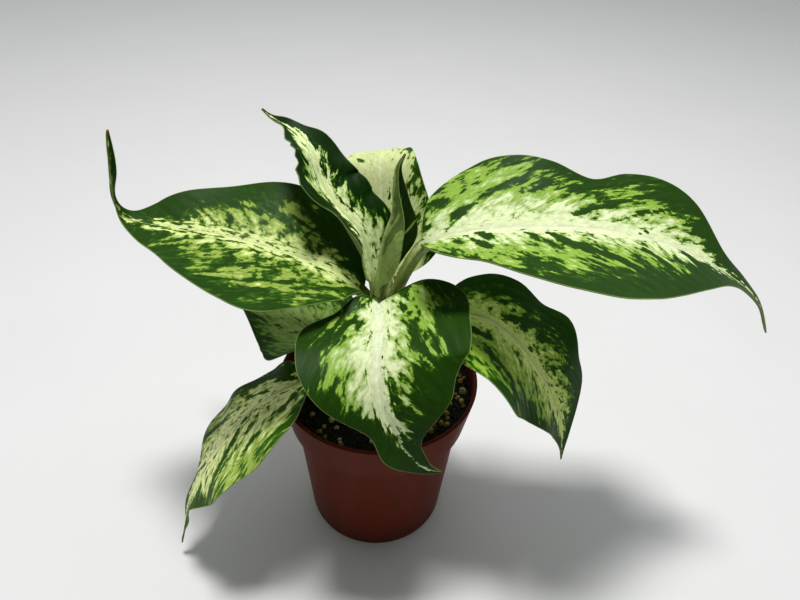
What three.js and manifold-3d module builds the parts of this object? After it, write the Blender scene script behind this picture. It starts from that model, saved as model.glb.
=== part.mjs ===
// Potted dieffenbachia: a moulded nursery pot, potting mix with pale granules, a short stem, nine leaves.
// Millimetres, +Z up. The origin is the middle of the pot's underside, +Y points away from the viewer.
// A leaf's left and right are those of someone looking along it from the stem to its tip, from above.

import * as THREE from 'three';
import Module from 'manifold-3d';
import { mergeVertices } from 'three/addons/utils/BufferGeometryUtils.js';

// ---------- driving dimensions ----------

const CLEARANCE = 0.3; // gap kept between pieces that touch

const POT = {
  height: 99.3,
  rimRadius: 52.5,
  bandFootRadius: 48.3, // the rim band is this wide where it begins
  bandFootHeight: 75,
  shoulderRadius: 44.6, // the wall meets the chamfer under the band here
  shoulderHeight: 70,
  baseRadius: 39,
  wall: 1.5,
  innerRise: 0.5, // the corners of the inner wall sit this much higher than the outer ones
  innerFlare: 0.3, // the inner wall is this much wider at the raised floor
  floor: 2,
  stepRadius: 30, // the floor is raised outside this radius, over the arches
  stepHeight: 6,
  stepLean: 1, // the step's riser leans inwards by this much
  archHeight: 3.5,
  archAngle: 68, // degrees of each of the three arches between the feet
  footAngle: 266, // direction of the front foot
  sides: 60,
};

// Corners of the wall's section: the chamfer at the foot and the rounded lip, measured from the rim.
const LIP = { chamfer: 1.2, outset: 0.3, shoulder: 2.4, edge: 1, corner: 0.6, wall: 1.7, inner: 2.2 };

const SLOT = { inner: 32, outer: 36, angle: 22 }; // a drain slot in each arch

const SOIL = {
  edgeHeight: 93,
  middleHeight: 95.2,
  dome: 0.9, // share of the fall from the middle to the edge that lies inside the granule field
  unevenness: 0.5,
  ripple: { x: 0.31, y: 0.27, phase: 1.3 }, // radians a millimetre of the main ups and downs
  crossRipple: { x: 0.62, y: 0.49, share: 0.6 }, // and of the lesser ones that cross them
  calmEdge: [4, -1], // the ups and downs fade out between these distances inside the granule field
  rings: 6,
  sides: 48,
  granules: 70,
  granuleSize: [0.9, 1.7], // radius of the smallest and the largest
  granuleShape: [1.2, 0.9, 0.85],
  granuleTilt: 0.4, // share of its turn by which a granule also leans
  granuleLift: 0.15, // share of its size by which a granule's middle stands above the surface
  granuleField: 46, // no granule lies further out than this
  seed: 7,
};

const STEM = {
  // height and radius, from the buried end to the growing tip
  outline: [[56, 4.5], [62, 6.2], [92, 7], [99, 6.9], [101, 7.2], [104, 6.6], [113, 6.2], [116, 6.5],
    [119, 5.8], [132, 4.9], [134, 5.1], [136.5, 4.6], [146, 3.7], [151, 3.3], [152, 2.6]],
  sides: 20,
};

const LEAF = {
  sheathLength: 9, // the part that clasps the stem
  stalkHalfWidth: 2.7,
  stalkChannel: 34, // degrees each side of the leaf stalk rises
  sheathThickness: 1.1,
  stalkThickness: 1.5,
  bladeThickness: 0.8,
  stalkRib: 2.1, // how far the rib stands out below
  ribHalfWidth: 2,
  ribShare: 0.6, // of the half width, the most that the rib takes
  ribNarrowing: 0.6, // share of the rib's width lost by the tip
  ribFade: 0.6, // below 1, the rib loses its depth early
  tipRib: 0.25,
  sheathFade: [0.7, 1.6], // shares of the sheath's length over which it opens into the stalk
  unfold: 0.16, // share of the blade over which the stalk's channel opens flat
  fullLobe: 20, // a half wider than the stalk by this much has its whole lobe
  lobeFade: 4, // power at which a lobe dies away along the blade
  stations: 30,
  stalkStations: 0.25, // share of the stations that lie on the stalk
  crowding: 1.25, // above 1, the blade's stations crowd towards its base
};

const LEAF_GREEN = '#4f7a2e';

// For each leaf: spine points from the stem to the tip; the length of its stalk with the sheath; half widths
// at equal steps along the blade; degrees that each half rises from the rib; degrees that the blade is turned
// about its rib (plus lowers the left side); how far the lobes reach back; wave height, number and phase.
const LEAVES = [
  {
    name: 'leaf_right', clasp: 3.4, direction: -3, stalk: 50,
    spine: [[5.1, -0.3, 136], [5.1, -0.3, 143], [7, -0.5, 153], [12, -0.7, 168], [19, -1, 181], [31, -2, 189],
      [52, -4, 195], [90, -6, 198], [123, -8, 193], [153, -10, 180], [171, -11, 166], [180.5, -12, 150]],
    left: [4.4, 27, 38.5, 40, 36.5, 30, 37.5, 38, 30, 12, 8, 5, 0.6],
    right: [4, 23, 26, 37, 47, 51, 45, 34.5, 23, 12, 9, 6, 0.6],
    fold: [16, 10, 8], turn: [-4, -8, -8, -12], lobe: 10, wave: [2, 2.5, 0.42],
  },
  {
    name: 'leaf_left', clasp: 3.4, direction: 175, stalk: 19,
    spine: [[-5.1, 0.4, 136], [-5.1, 0.4, 143], [-7.6, 0.6, 151], [-19, 1.5, 162], [-31, 2, 168],
      [-60, 5, 176], [-90, 8, 180], [-108, 9, 181], [-118, 10, 184], [-121, 10, 193],
      [-119, 10, 206], [-116, 11, 225]],
    left: [3, 27, 44.5, 42, 33.5, 18, 3, 1.5, 0.6],
    right: [4, 27, 36.5, 36, 27, 16.5, 3.5, 3, 0.6],
    fold: [14, 12, 10], turn: [4, 10, 8, 0], lobe: 8, wave: [1.5, 3, 0.6],
  },
  {
    name: 'leaf_upper_left', clasp: 4, direction: 140, stalk: 13,
    spine: [[-3, 2.5, 149.5], [-3, 2.5, 156], [-5, 5, 166], [-10, 9, 181], [-19, 14, 189], [-28, 21, 198],
      [-33, 29, 210], [-42, 37, 217], [-54, 43, 221], [-58, 44, 224]],
    left: [9, 9, 8.5, 10, 19, 16, 12.5, 3, 0.6],
    right: [5, 14, 17, 18, 18, 13, 7.5, 3, 0.6],
    fold: [35, 30, 20], turn: [0, 0, 0], lobe: 0, wave: [1, 6, 0.1],
  },
  {
    name: 'leaf_back', clasp: 3.4, direction: 90, stalk: 20,
    spine: [[0, 5.1, 136], [0, 5.2, 143], [0, 8.8, 151], [0, 16, 168], [-1, 26, 188], [-2, 36, 203],
      [-2, 49, 204], [-3, 66, 192], [-3, 80, 174], [-3, 90, 152]],
    left: [4.4, 13, 21, 20, 14, 13, 12, 6, 0.6],
    right: [6, 27, 24, 18.5, 13.5, 15, 14, 8, 0.6],
    fold: [14, 2, -4], turn: [0, 6, 8, 4], lobe: 4, wave: [1, 3, 0.3],
  },
  {
    name: 'leaf_spear', clasp: 0, direction: 159, stalk: 6,
    spine: [[-1.4, 0.4, 152.4], [-1, 0.6, 158], [0, 1, 170], [2, 2, 185], [5, 3, 196], [5, 4, 208],
      [6, 5, 217], [9, 5, 223]],
    left: [3, 9, 12, 13, 11, 7, 4, 2, 0.6],
    right: [2.4, 7, 11, 14, 13.5, 8, 5.5, 2.5, 0.6],
    fold: [58, 58, 58], turn: [0, 0, 0], lobe: 0, wave: [0, 1, 0],
  },
  {
    name: 'leaf_front', clasp: 3.4, direction: 270, stalk: 15.3,
    spine: [[0, -5, 138], [0, -5, 145], [0, -7.6, 153], [0, -14, 157], [1, -26, 157], [1, -38, 155],
      [1, -48, 151], [3, -56, 144], [6, -61, 135], [11, -64, 125], [17, -65, 115], [24, -64, 106],
      [32, -62, 101]],
    left: [3, 36, 40, 39, 32, 26.5, 9.5, 4.5, 0.6],
    right: [3, 17, 33, 34, 25.5, 10.5, 10, 5, 0.6],
    fold: [5, 10, 8], turn: [-16, -4, 0], lobe: 7.5, wave: [1, 3, 0.1],
  },
  {
    name: 'leaf_lower_right', clasp: 4, direction: -10, stalk: 46,
    spine: [[6.8, -1.2, 107], [6.8, -1.2, 114], [11, -2, 125], [21, -4, 139], [33, -6, 147], [49, -9, 149],
      [65, -12, 139], [78, -14, 123], [90, -16, 102], [97, -17, 83], [102, -18, 58]],
    left: [3, 24, 30.5, 32, 38.5, 31, 29, 9, 0.6],
    right: [3, 31.5, 36, 39, 30, 22, 13, 4.5, 0.6],
    fold: [6, 6, 6], turn: [0, -10, -20, -20], lobe: 6, wave: [1.5, 3, 0.4],
  },
  {
    name: 'leaf_lower_left', clasp: 3.6, direction: 205, stalk: 34,
    spine: [[-6.6, -3.1, 97], [-6.8, -3.2, 101], [-11, -5, 105.5], [-20, -9, 108], [-36, -17, 109],
      [-54, -25, 104], [-71, -33, 90], [-84, -39, 72], [-95, -45, 50], [-101, -47, 30], [-106, -49, 10]],
    left: [3, 23, 36, 32, 30, 17.5, 6, 2.5, 0.6],
    right: [3, 19, 22, 28, 29, 20, 9, 3, 0.6],
    fold: [0, -4, -4], turn: [-6, -9, -9, -5], lobe: 6, wave: [1.5, 4, 0.2],
  },
  {
    name: 'leaf_back_left', clasp: 3.6, direction: 150, stalk: 24,
    spine: [[-6.2, 3.6, 105], [-6.3, 3.7, 110], [-12, 7, 113], [-24, 14, 110], [-47, 28, 107], [-70, 40, 117],
      [-90, 52, 122], [-108, 62, 120]],
    left: [4, 38.5, 36, 29, 21, 12, 6, 3, 0.6],
    right: [4, 28, 33, 28, 20, 12, 6, 3, 0.6],
    fold: [15, 15, 15], turn: [0, 0, 0], lobe: 6, wave: [1, 3, 0.5],
  },
];

// ---------- helpers ----------

const wasm = await Module();
wasm.setup();

const radians = THREE.MathUtils.degToRad;
const smooth = (value, low, high) => THREE.MathUtils.smoothstep(value, low, high);
const mix = THREE.MathUtils.lerp;

function onlyPositions(geometry) {
  geometry.deleteAttribute('normal');
  geometry.deleteAttribute('uv');
  return geometry;
}

function toSolid(geometry) {
  const merged = mergeVertices(onlyPositions(geometry), 1e-4);
  const mesh = new wasm.Mesh({
    numProp: 3,
    vertProperties: new Float32Array(merged.attributes.position.array),
    triVerts: new Uint32Array(merged.index.array),
  });
  return new wasm.Manifold(mesh);
}

function toGeometry(solid) {
  const mesh = solid.getMesh();
  const geometry = new THREE.BufferGeometry();
  geometry.setAttribute('position', new THREE.BufferAttribute(new Float32Array(mesh.vertProperties), 3));
  geometry.setIndex(new THREE.BufferAttribute(new Uint32Array(mesh.triVerts), 1));
  return geometry;
}

// A lathe about Z: the profile is a list of [radius, height].
function turned(profile, sides) {
  const points = profile.map(([radius, height]) => new THREE.Vector2(radius, height));
  const geometry = new THREE.LatheGeometry(points, sides);
  geometry.rotateX(Math.PI / 2);
  return geometry;
}

function piece(name, geometry, color, roughness) {
  const material = new THREE.MeshStandardMaterial({ color, roughness, metalness: 0 });
  geometry.computeVertexNormals();
  const mesh = new THREE.Mesh(geometry, material);
  mesh.name = name;
  return mesh;
}

// Repeatable draws between 0 and 1.
function seededDraws(seed) {
  let state = seed;
  return () => {
    state = (state * 16807) % 2147483647;
    return state / 2147483647;
  };
}

// The value of an evenly spaced list at a fraction of its length, on a smooth curve.
function along(values, fraction) {
  const last = values.length - 1;
  const place = THREE.MathUtils.clamp(fraction, 0, 1) * last;
  const i = Math.min(Math.floor(place), last - 1);
  const t = place - i;
  const before = i > 0 ? values[i - 1] : 2 * values[0] - values[1];
  const after = i < last - 1 ? values[i + 2] : 2 * values[last] - values[last - 1];
  const slopeIn = (values[i + 1] - before) / 2;
  const slopeOut = (after - values[i]) / 2;
  const rise = values[i] - values[i + 1];
  return (2 * rise + slopeIn + slopeOut) * t ** 3
    + (-3 * rise - 2 * slopeIn - slopeOut) * t ** 2 + slopeIn * t + values[i];
}

// ---------- pot ----------

// Slice of a ring between two radii, centred on a direction, from one height to another.
function ringSlice(inner, outer, direction, angle, low, high) {
  const start = radians(direction - angle / 2);
  const end = radians(direction + angle / 2);
  const shape = new THREE.Shape();
  shape.absarc(0, 0, outer, start, end, false);
  shape.absarc(0, 0, inner, end, start, true);
  shape.closePath();
  const options = { depth: high - low, bevelEnabled: false, curveSegments: 10 };
  const geometry = new THREE.ExtrudeGeometry(shape, options);
  geometry.translate(0, 0, low);
  return geometry;
}

// The inner wall from the raised floor to just under the lip, as [radius, height].
const INSIDE = [
  [POT.baseRadius - POT.wall + POT.innerFlare, POT.stepHeight],
  [POT.shoulderRadius - POT.wall, POT.shoulderHeight + POT.innerRise],
  [POT.bandFootRadius - POT.wall, POT.bandFootHeight + POT.innerRise],
  [POT.rimRadius - LIP.inner, POT.height - LIP.edge],
];

function makePot() {
  const p = POT;
  const rim = p.rimRadius;
  const profile = [
    [0, 0], [p.baseRadius - LIP.chamfer, 0], [p.baseRadius, LIP.chamfer],
    [p.shoulderRadius, p.shoulderHeight], [p.bandFootRadius, p.bandFootHeight],
    [rim - LIP.outset, p.height - LIP.shoulder], [rim, p.height - LIP.edge], [rim - LIP.corner, p.height],
    [rim - LIP.wall, p.height], ...INSIDE.toReversed(),
    [p.stepRadius, p.stepHeight], [p.stepRadius - p.stepLean, p.floor], [0, p.floor],
  ];
  let pot = toSolid(turned(profile, p.sides));
  for (let k = 0; k < 3; k += 1) {
    const direction = p.footAngle + 60 + k * 120;
    const arch = ringSlice(p.stepRadius + 1, p.baseRadius + 5, direction, p.archAngle, -1, p.archHeight);
    const slot = ringSlice(SLOT.inner, SLOT.outer, direction, SLOT.angle, p.archHeight - 1, p.stepHeight + 1);
    pot = pot.subtract(toSolid(arch)).subtract(toSolid(slot));
  }
  return toGeometry(pot);
}

// ---------- stem ----------

function stemRadius(height) {
  const next = STEM.outline.findIndex(([level]) => level > height);
  const [lowLevel, lowRadius] = STEM.outline[next - 1];
  const [highLevel, highRadius] = STEM.outline[next];
  return mix(lowRadius, highRadius, (height - lowLevel) / (highLevel - lowLevel));
}

function stemProfile(extra) {
  const sides = STEM.outline.map(([height, radius]) => [radius + extra, height]);
  const bottom = STEM.outline[0][0] - extra;
  sides[0][1] = bottom;
  return [[0, bottom], ...sides, [0, STEM.outline.at(-1)[0]]];
}

// ---------- potting mix ----------

// Gentle ups and downs of the surface, fading out at the pot's wall.
function soilSurface(x, y) {
  const radius = Math.hypot(x, y);
  const { granuleField, unevenness, edgeHeight, middleHeight, dome, ripple, crossRipple } = SOIL;
  const [fadeStart, fadeEnd] = SOIL.calmEdge.map((inside) => granuleField - inside);
  const fade = 1 - smooth(radius, fadeStart, fadeEnd);
  const main = Math.sin(x * ripple.x + ripple.phase) * Math.cos(y * ripple.y);
  const cross = crossRipple.share * Math.sin(x * crossRipple.x - y * crossRipple.y);
  const fall = (radius / granuleField) ** 2 * dome;
  return mix(middleHeight, edgeHeight, fall) + (main + cross) * unevenness * fade;
}

function granule(x, y, size, turn) {
  const geometry = new THREE.OctahedronGeometry(size, 0);
  geometry.scale(...SOIL.granuleShape);
  geometry.rotateZ(turn);
  geometry.rotateX(turn * SOIL.granuleTilt);
  geometry.translate(x, y, soilSurface(x, y) + size * SOIL.granuleLift);
  return toSolid(geometry);
}

function makeSoil() {
  const p = POT;
  const c = CLEARANCE;
  const wallSides = INSIDE.slice(0, 3).map(([radius, height]) => [radius - c, height + c]);
  const [footRadius, footHeight] = INSIDE[2];
  const [lipRadius, lipHeight] = INSIDE[3];
  const edgeShare = (SOIL.edgeHeight - footHeight) / (lipHeight - footHeight);
  const profile = [
    [0, p.floor + c], [p.stepRadius - p.stepLean - c, p.floor + c], [p.stepRadius - c, p.stepHeight + c],
    ...wallSides, [mix(footRadius, lipRadius, edgeShare) - c, SOIL.edgeHeight],
  ];
  for (let ring = SOIL.rings; ring >= 0; ring -= 1) {
    const radius = (SOIL.granuleField * ring) / SOIL.rings;
    profile.push([radius, SOIL.middleHeight]);
  }
  const body = turned(profile, SOIL.sides);
  const position = body.attributes.position;
  for (let i = 0; i < position.count; i += 1) {
    if (position.getZ(i) === Math.fround(SOIL.middleHeight)) {
      position.setZ(i, soilSurface(position.getX(i), position.getY(i)));
    }
  }
  let soil = toSolid(body);
  const draw = seededDraws(SOIL.seed);
  const [small, large] = SOIL.granuleSize;
  for (let k = 0; k < SOIL.granules; k += 1) {
    const radius = mix(STEM.outline[2][1] + 3, SOIL.granuleField - 1, Math.sqrt(draw()));
    const angle = draw() * 2 * Math.PI;
    const size = mix(small, large, draw() ** 2);
    soil = soil.add(granule(radius * Math.cos(angle), radius * Math.sin(angle), size, draw() * Math.PI));
  }
  const hole = stemProfile(CLEARANCE);
  return toGeometry(soil.subtract(toSolid(turned(hole, STEM.sides))));
}

// ---------- leaves ----------

// Points along the spine with their forward, left and upward directions. The upward one faces the stem
// at first and is then carried along the curve without twisting.
function spineFrames(leaf) {
  const points = leaf.spine.map(([x, y, z]) => new THREE.Vector3(x, y, z));
  const curve = new THREE.CatmullRomCurve3(points, false, 'catmullrom', 0.5);
  curve.arcLengthDivisions = 400;
  const length = curve.getLength();
  const angle = radians(leaf.direction);
  const up = new THREE.Vector3(-Math.cos(angle), -Math.sin(angle), 0);
  const frames = [];
  for (let i = 0; i <= LEAF.stations; i += 1) {
    const distance = stationDistance(i / LEAF.stations, leaf.stalk, length);
    const forward = curve.getTangentAt(distance / length);
    up.addScaledVector(forward, -up.dot(forward)).normalize();
    const left = up.clone().cross(forward);
    frames.push({ distance, point: curve.getPointAt(distance / length), forward, left, up: up.clone() });
  }
  return { frames, length };
}

// Distance along the spine of the station at a fraction of their number.
function stationDistance(fraction, stalk, length) {
  const onStalk = LEAF.stalkStations;
  if (fraction <= onStalk) return (stalk * fraction) / onStalk;
  const onBlade = (fraction - onStalk) / (1 - onStalk);
  return stalk + (length - stalk) * onBlade ** LEAF.crowding;
}

// Half width, slope, curl, thickness and rib of one half of the leaf at a distance along its spine.
function sectionAt(leaf, side, distance, length) {
  const blade = (distance - leaf.stalk) / (length - leaf.stalk);
  const [fadeStart, fadeEnd] = LEAF.sheathFade.map((share) => share * LEAF.sheathLength);
  const clasp = leaf.clasp > 0 ? 1 - smooth(distance, fadeStart, fadeEnd) : 0;
  const unfold = smooth(blade, 0, LEAF.unfold);
  const sheathRadius = Math.hypot(leaf.spine[0][0], leaf.spine[0][1]);
  const stalkHalfWidth = leaf[side][0];
  const width = blade > 0 ? along(leaf[side], blade) : mix(stalkHalfWidth, leaf.clasp, clasp);
  const bladeFold = along(leaf.fold, blade);
  const ribHalfWidth = LEAF.ribHalfWidth * (1 - LEAF.ribNarrowing * Math.max(0, blade));
  return {
    blade,
    width,
    slope: radians(mix(LEAF.stalkChannel * (1 - clasp), bladeFold, Math.max(unfold, leaf.clasp > 0 ? 0 : 1))),
    curl: clasp * (width / sheathRadius),
    thickness: mix(mix(LEAF.stalkThickness, LEAF.sheathThickness, clasp), LEAF.bladeThickness, unfold),
    rib: mix(LEAF.stalkRib * (1 - clasp), LEAF.tipRib, Math.max(0, blade) ** LEAF.ribFade),
    ribHalfWidth: Math.min(ribHalfWidth, width * LEAF.ribShare),
  };
}

// Top and bottom points across one half, from the rib to the margin.
function halfSection(leaf, side, frame, length) {
  const s = sectionAt(leaf, side, frame.distance, length);
  const sign = side === 'left' ? 1 : -1;
  const turn = radians(along(leaf.turn, Math.max(0, s.blade))) * smooth(s.blade, 0, LEAF.unfold);
  const up = frame.up.clone().multiplyScalar(Math.cos(turn)).addScaledVector(frame.left, Math.sin(turn));
  const out = frame.left.clone().multiplyScalar(Math.cos(turn)).addScaledVector(frame.up, -Math.sin(turn));
  out.multiplyScalar(sign);
  const [waveHeight, waves, phase] = leaf.wave;
  const bladeOnly = Math.max(0, s.blade);
  const swell = Math.sqrt(Math.sin(Math.PI * Math.min(1, bladeOnly))) || 0;
  const wave = waveHeight * swell * Math.sin(2 * Math.PI * (waves * bladeOnly + phase) + sign);
  const breadth = Math.min(1, Math.max(0, s.width - LEAF.stalkHalfWidth) / LEAF.fullLobe);
  const stops = [0, s.ribHalfWidth / s.width, mix(s.ribHalfWidth / s.width, 1, 0.5), 1];
  return stops.map((stop) => {
    const angle = s.slope + s.curl * stop;
    const bend = s.curl || 1e-6;
    const across = (s.width * (Math.sin(s.slope + bend * stop) - Math.sin(s.slope))) / bend;
    const rise = (s.width * (Math.cos(s.slope) - Math.cos(s.slope + bend * stop))) / bend;
    const back = leaf.lobe * stop ** 2 * (1 - bladeOnly) ** LEAF.lobeFade * breadth;
    const top = frame.point.clone().addScaledVector(out, across)
      .addScaledVector(up, rise + wave * stop ** 2).addScaledVector(frame.forward, -back);
    const depth = s.thickness + (stop === 0 ? s.rib : 0);
    const bottom = top.clone().addScaledVector(up, -depth * Math.cos(angle))
      .addScaledVector(out, depth * Math.sin(angle) * (stop === 0 ? 0 : 1));
    return { top, bottom };
  });
}

// One closed body: the top and bottom faces are split alike, the margins join them and both ends are capped.
function makeLeaf(leaf) {
  const { frames, length } = spineFrames(leaf);
  const rows = frames.map((frame) => {
    const left = halfSection(leaf, 'left', frame, length);
    const right = halfSection(leaf, 'right', frame, length);
    return [...left.slice(1).reverse(), left[0], ...right.slice(1)];
  });
  const columns = rows[0].length;
  const positions = [];
  rows.forEach((row) => row.forEach(({ top }) => positions.push(...top.toArray())));
  rows.forEach((row) => row.forEach(({ bottom }) => positions.push(...bottom.toArray())));
  const below = rows.length * columns;
  const index = [];
  const quad = (a, b, c, d) => index.push(a, b, c, a, c, d);
  for (let i = 0; i < rows.length - 1; i += 1) {
    for (let j = 0; j < columns - 1; j += 1) {
      const a = i * columns + j;
      const b = a + 1;
      const c = b + columns;
      const d = a + columns;
      quad(a, b, c, d);
      index.push(below + a, below + c, below + b, below + a, below + d, below + c);
    }
    const first = i * columns;
    const last = first + columns - 1;
    quad(first, first + columns, below + first + columns, below + first);
    quad(last, below + last, below + last + columns, last + columns);
  }
  for (let j = 0; j < columns - 1; j += 1) {
    const end = (rows.length - 1) * columns + j;
    quad(j, below + j, below + j + 1, j + 1);
    quad(end, end + 1, below + end + 1, below + end);
  }
  const geometry = new THREE.BufferGeometry();
  geometry.setAttribute('position', new THREE.BufferAttribute(new Float32Array(positions), 3));
  geometry.setIndex(index);
  return geometry;
}

// ---------- assembly ----------

const plant = new THREE.Group();
plant.add(piece('pot', makePot(), '#5c2a20', 0.45));
plant.add(piece('soil', makeSoil(), '#1d1712', 0.95));
plant.add(piece('stem', onlyPositions(turned(stemProfile(0), STEM.sides)), '#7d9a4a', 0.5));
LEAVES.forEach((leaf) => plant.add(piece(leaf.name, makeLeaf(leaf), LEAF_GREEN, 0.42)));

export default plant;
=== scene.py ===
"""Potted dieffenbachia: the looks of a young plant with nine variegated leaves in a moulded nursery pot.

Metres, +Z up. The origin is the middle of the pot's underside and +Y points away from the viewer. Sizes are
written in millimetres and turned to metres by MM. A leaf's left and right are those of someone looking along
it from the stem to its tip, from above.
"""

import logging
import math
from dataclasses import dataclass, field
from enum import Enum

import bpy
import numpy as np
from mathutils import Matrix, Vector, noise


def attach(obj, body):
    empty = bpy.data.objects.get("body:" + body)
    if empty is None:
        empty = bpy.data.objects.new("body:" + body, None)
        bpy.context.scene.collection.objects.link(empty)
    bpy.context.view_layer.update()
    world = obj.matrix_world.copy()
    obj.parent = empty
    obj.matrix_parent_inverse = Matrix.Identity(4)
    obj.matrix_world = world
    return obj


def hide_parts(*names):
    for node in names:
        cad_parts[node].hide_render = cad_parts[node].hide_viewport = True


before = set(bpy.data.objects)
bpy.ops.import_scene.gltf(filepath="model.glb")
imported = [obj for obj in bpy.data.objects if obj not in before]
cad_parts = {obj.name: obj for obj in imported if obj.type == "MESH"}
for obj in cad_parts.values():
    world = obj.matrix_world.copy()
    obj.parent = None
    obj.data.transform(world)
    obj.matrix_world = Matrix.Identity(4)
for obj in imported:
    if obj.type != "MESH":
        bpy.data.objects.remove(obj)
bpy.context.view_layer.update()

Tree = bpy.types.NodeTree
Node = bpy.types.Node
Socket = bpy.types.NodeSocket
Material = bpy.types.Material
Object = bpy.types.Object

MM = 0.001
CLEARANCE = 0.3  # mm, gap kept between pieces that touch
ROOT = "root"

# What add is told for the nodes that come up most: the type and its settings. EVEN and EASED take a value,
# the span in which it is read and the span in which it is given back, which is 0 to 1 where it is left out.
ADD, SUBTRACT, MULTIPLY, DIVIDE, MULTIPLY_ADD, SINE, COSINE, ABSOLUTE = (
    ("ShaderNodeMath", {"operation": operation})
    for operation in ("ADD", "SUBTRACT", "MULTIPLY", "DIVIDE", "MULTIPLY_ADD", "SINE", "COSINE", "ABSOLUTE")
)
EVEN, EASED = (("ShaderNodeMapRange", {"interpolation_type": way}) for way in ("LINEAR", "SMOOTHSTEP"))
BLEND = "ShaderNodeMix", {"data_type": "RGBA"}
NOISE = "ShaderNodeTexNoise"

log = logging.getLogger("dieffenbachia")


# ---------- numbers ----------


def linear(colour: str) -> tuple[float, float, float, float]:
    """Turn an sRGB colour such as #2b4a1f into the linear red, green, blue and alpha that shaders take."""
    channels = [int(colour[i : i + 2], 16) / 255 for i in (1, 3, 5)]
    red, green, blue = (c / 12.92 if c <= 0.04045 else ((c + 0.055) / 1.055) ** 2.4 for c in channels)
    return red, green, blue, 1.0


def smooth(value: np.ndarray | float, low: float, high: float) -> np.ndarray | float:
    """Rise smoothly from 0 at low to 1 at high."""
    t = np.clip((value - low) / (high - low), 0, 1)
    return t * t * (3 - 2 * t)


def mix(start: float, end: float, share: np.ndarray | float) -> np.ndarray | float:
    """Go from start to end by share."""
    return start + (end - start) * share


def along(values: list[float], share: np.ndarray) -> np.ndarray:
    """Read an evenly spaced list on a smooth curve through its values.

    Args:
        values: two or more values at equal steps.
        share: how far along the list to read, from 0 to 1.

    Returns:
        The value at each share.
    """
    v = np.asarray(values, float)
    padded = np.concatenate([[2 * v[0] - v[1]], v, [2 * v[-1] - v[-2]]])
    place = np.clip(share, 0, 1) * (len(v) - 1)
    i = np.minimum(np.floor(place).astype(int), len(v) - 2)
    t = place - i
    before, start, end, after = (padded[i + k] for k in range(4))
    slope_in, slope_out = (end - before) / 2, (after - start) / 2
    cubic = 2 * (start - end) + slope_in + slope_out
    square = 3 * (end - start) - 2 * slope_in - slope_out
    return ((cubic * t + square) * t + slope_in) * t + start


def seeded_draws(seed: int, count: int) -> list[float]:
    """Make a number of draws between 0 and 1 that the seed repeats."""
    modulus = 2147483647
    draws = []
    state = seed
    for _ in range(count):
        state = state * 16807 % modulus
        draws.append(state / modulus)
    return draws


# ---------- Blender helpers ----------


def add(
    tree: Tree,
    kind: str,
    settings: dict | None = None,
    *values: object,
    output: int | str = 0,
    **inputs: object,
) -> Socket:
    """Add a node with its settings and links.

    Args:
        tree: the tree that gets the node.
        kind: the node's type.
        settings: properties of the node, by name.
        values: what its first inputs get, in order: a value, a colour as hex or another node's output.
        output: which of its outputs is given back, by its place or its name.
        inputs: what an input gets, by its name with _ for spaces, or by its place, as i6 for the seventh.

    Returns:
        The output, whose node is the new one.
    """
    node = tree.nodes.new(kind)
    for name, value in (settings or {}).items():
        setattr(node, name, value)
    for key, value in {**{f"i{k}": value for k, value in enumerate(values)}, **inputs}.items():
        place = key[1:]
        socket = node.inputs[int(place)] if place.isdigit() else node.inputs[key.replace("_", " ")]
        if isinstance(value, Socket):
            tree.links.new(value, socket)
        elif isinstance(value, str) and value.startswith("#"):
            socket.default_value = linear(value)
        else:
            socket.default_value = value
    return node.outputs[output]


def set_ramp(ramp: bpy.types.ColorRamp, stops: list[tuple[float, str]]) -> None:
    """Set a colour ramp's stops, each a place from 0 to 1 and a hex colour."""
    while len(ramp.elements) < len(stops):
        ramp.elements.new(1.0)
    for element, (place, colour) in zip(ramp.elements, stops):
        element.position = place
        element.color = linear(colour)


def new_material(name: str) -> tuple[Material, Tree]:
    """Make a material and give it back with its tree."""
    material = bpy.data.materials.new(name)
    material.use_nodes = True
    return material, material.node_tree


def coat(
    tree: Tree, colour: Socket, roughness: Socket | float, height: Socket, relief: tuple[float, float]
) -> Node:
    """Give a material its colour, its roughness and its fine relief.

    Args:
        tree: the material's tree.
        colour: the base colour.
        roughness: from 0, mirror-like, to 1.
        height: the relief's pattern.
        relief: how strongly the relief shows, and its depth in millimetres.

    Returns:
        The material's shader.
    """
    strength, depth = relief
    shader = tree.nodes["Principled BSDF"]
    bump = add(tree, "ShaderNodeBump", Height=height, Strength=strength, Distance=depth * MM)
    for label, value in (("Base Color", colour), ("Roughness", roughness), ("Normal", bump)):
        if isinstance(value, Socket):
            tree.links.new(value, shader.inputs[label])
        else:
            shader.inputs[label].default_value = value
    return shader


def new_object(name: str, points: np.ndarray, faces: list, material: Material | None) -> Object:
    """Make a smooth-shaded mesh object at the origin.

    Args:
        name: the object's name.
        points: vertices in millimetres.
        faces: lists of vertex numbers, wound so that they face outwards.
        material: the finish, or None.

    Returns:
        The object, linked to the scene.
    """
    mesh = bpy.data.meshes.new(name)
    mesh.from_pydata((np.asarray(points, float) * MM).tolist(), [], faces)
    mesh.shade_smooth()
    if material is not None:
        mesh.materials.append(material)
    made = bpy.data.objects.new(name, mesh)
    bpy.context.scene.collection.objects.link(made)
    return made


def applied(source: Object, name: str) -> Object:
    """Turn an object with live modifiers, which is removed, into a plain mesh object."""
    graph = bpy.context.evaluated_depsgraph_get()
    mesh = bpy.data.meshes.new_from_object(source.evaluated_get(graph), depsgraph=graph)
    bpy.data.objects.remove(source)
    mesh.name = name
    made = bpy.data.objects.new(name, mesh)
    bpy.context.scene.collection.objects.link(made)
    return made


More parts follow.
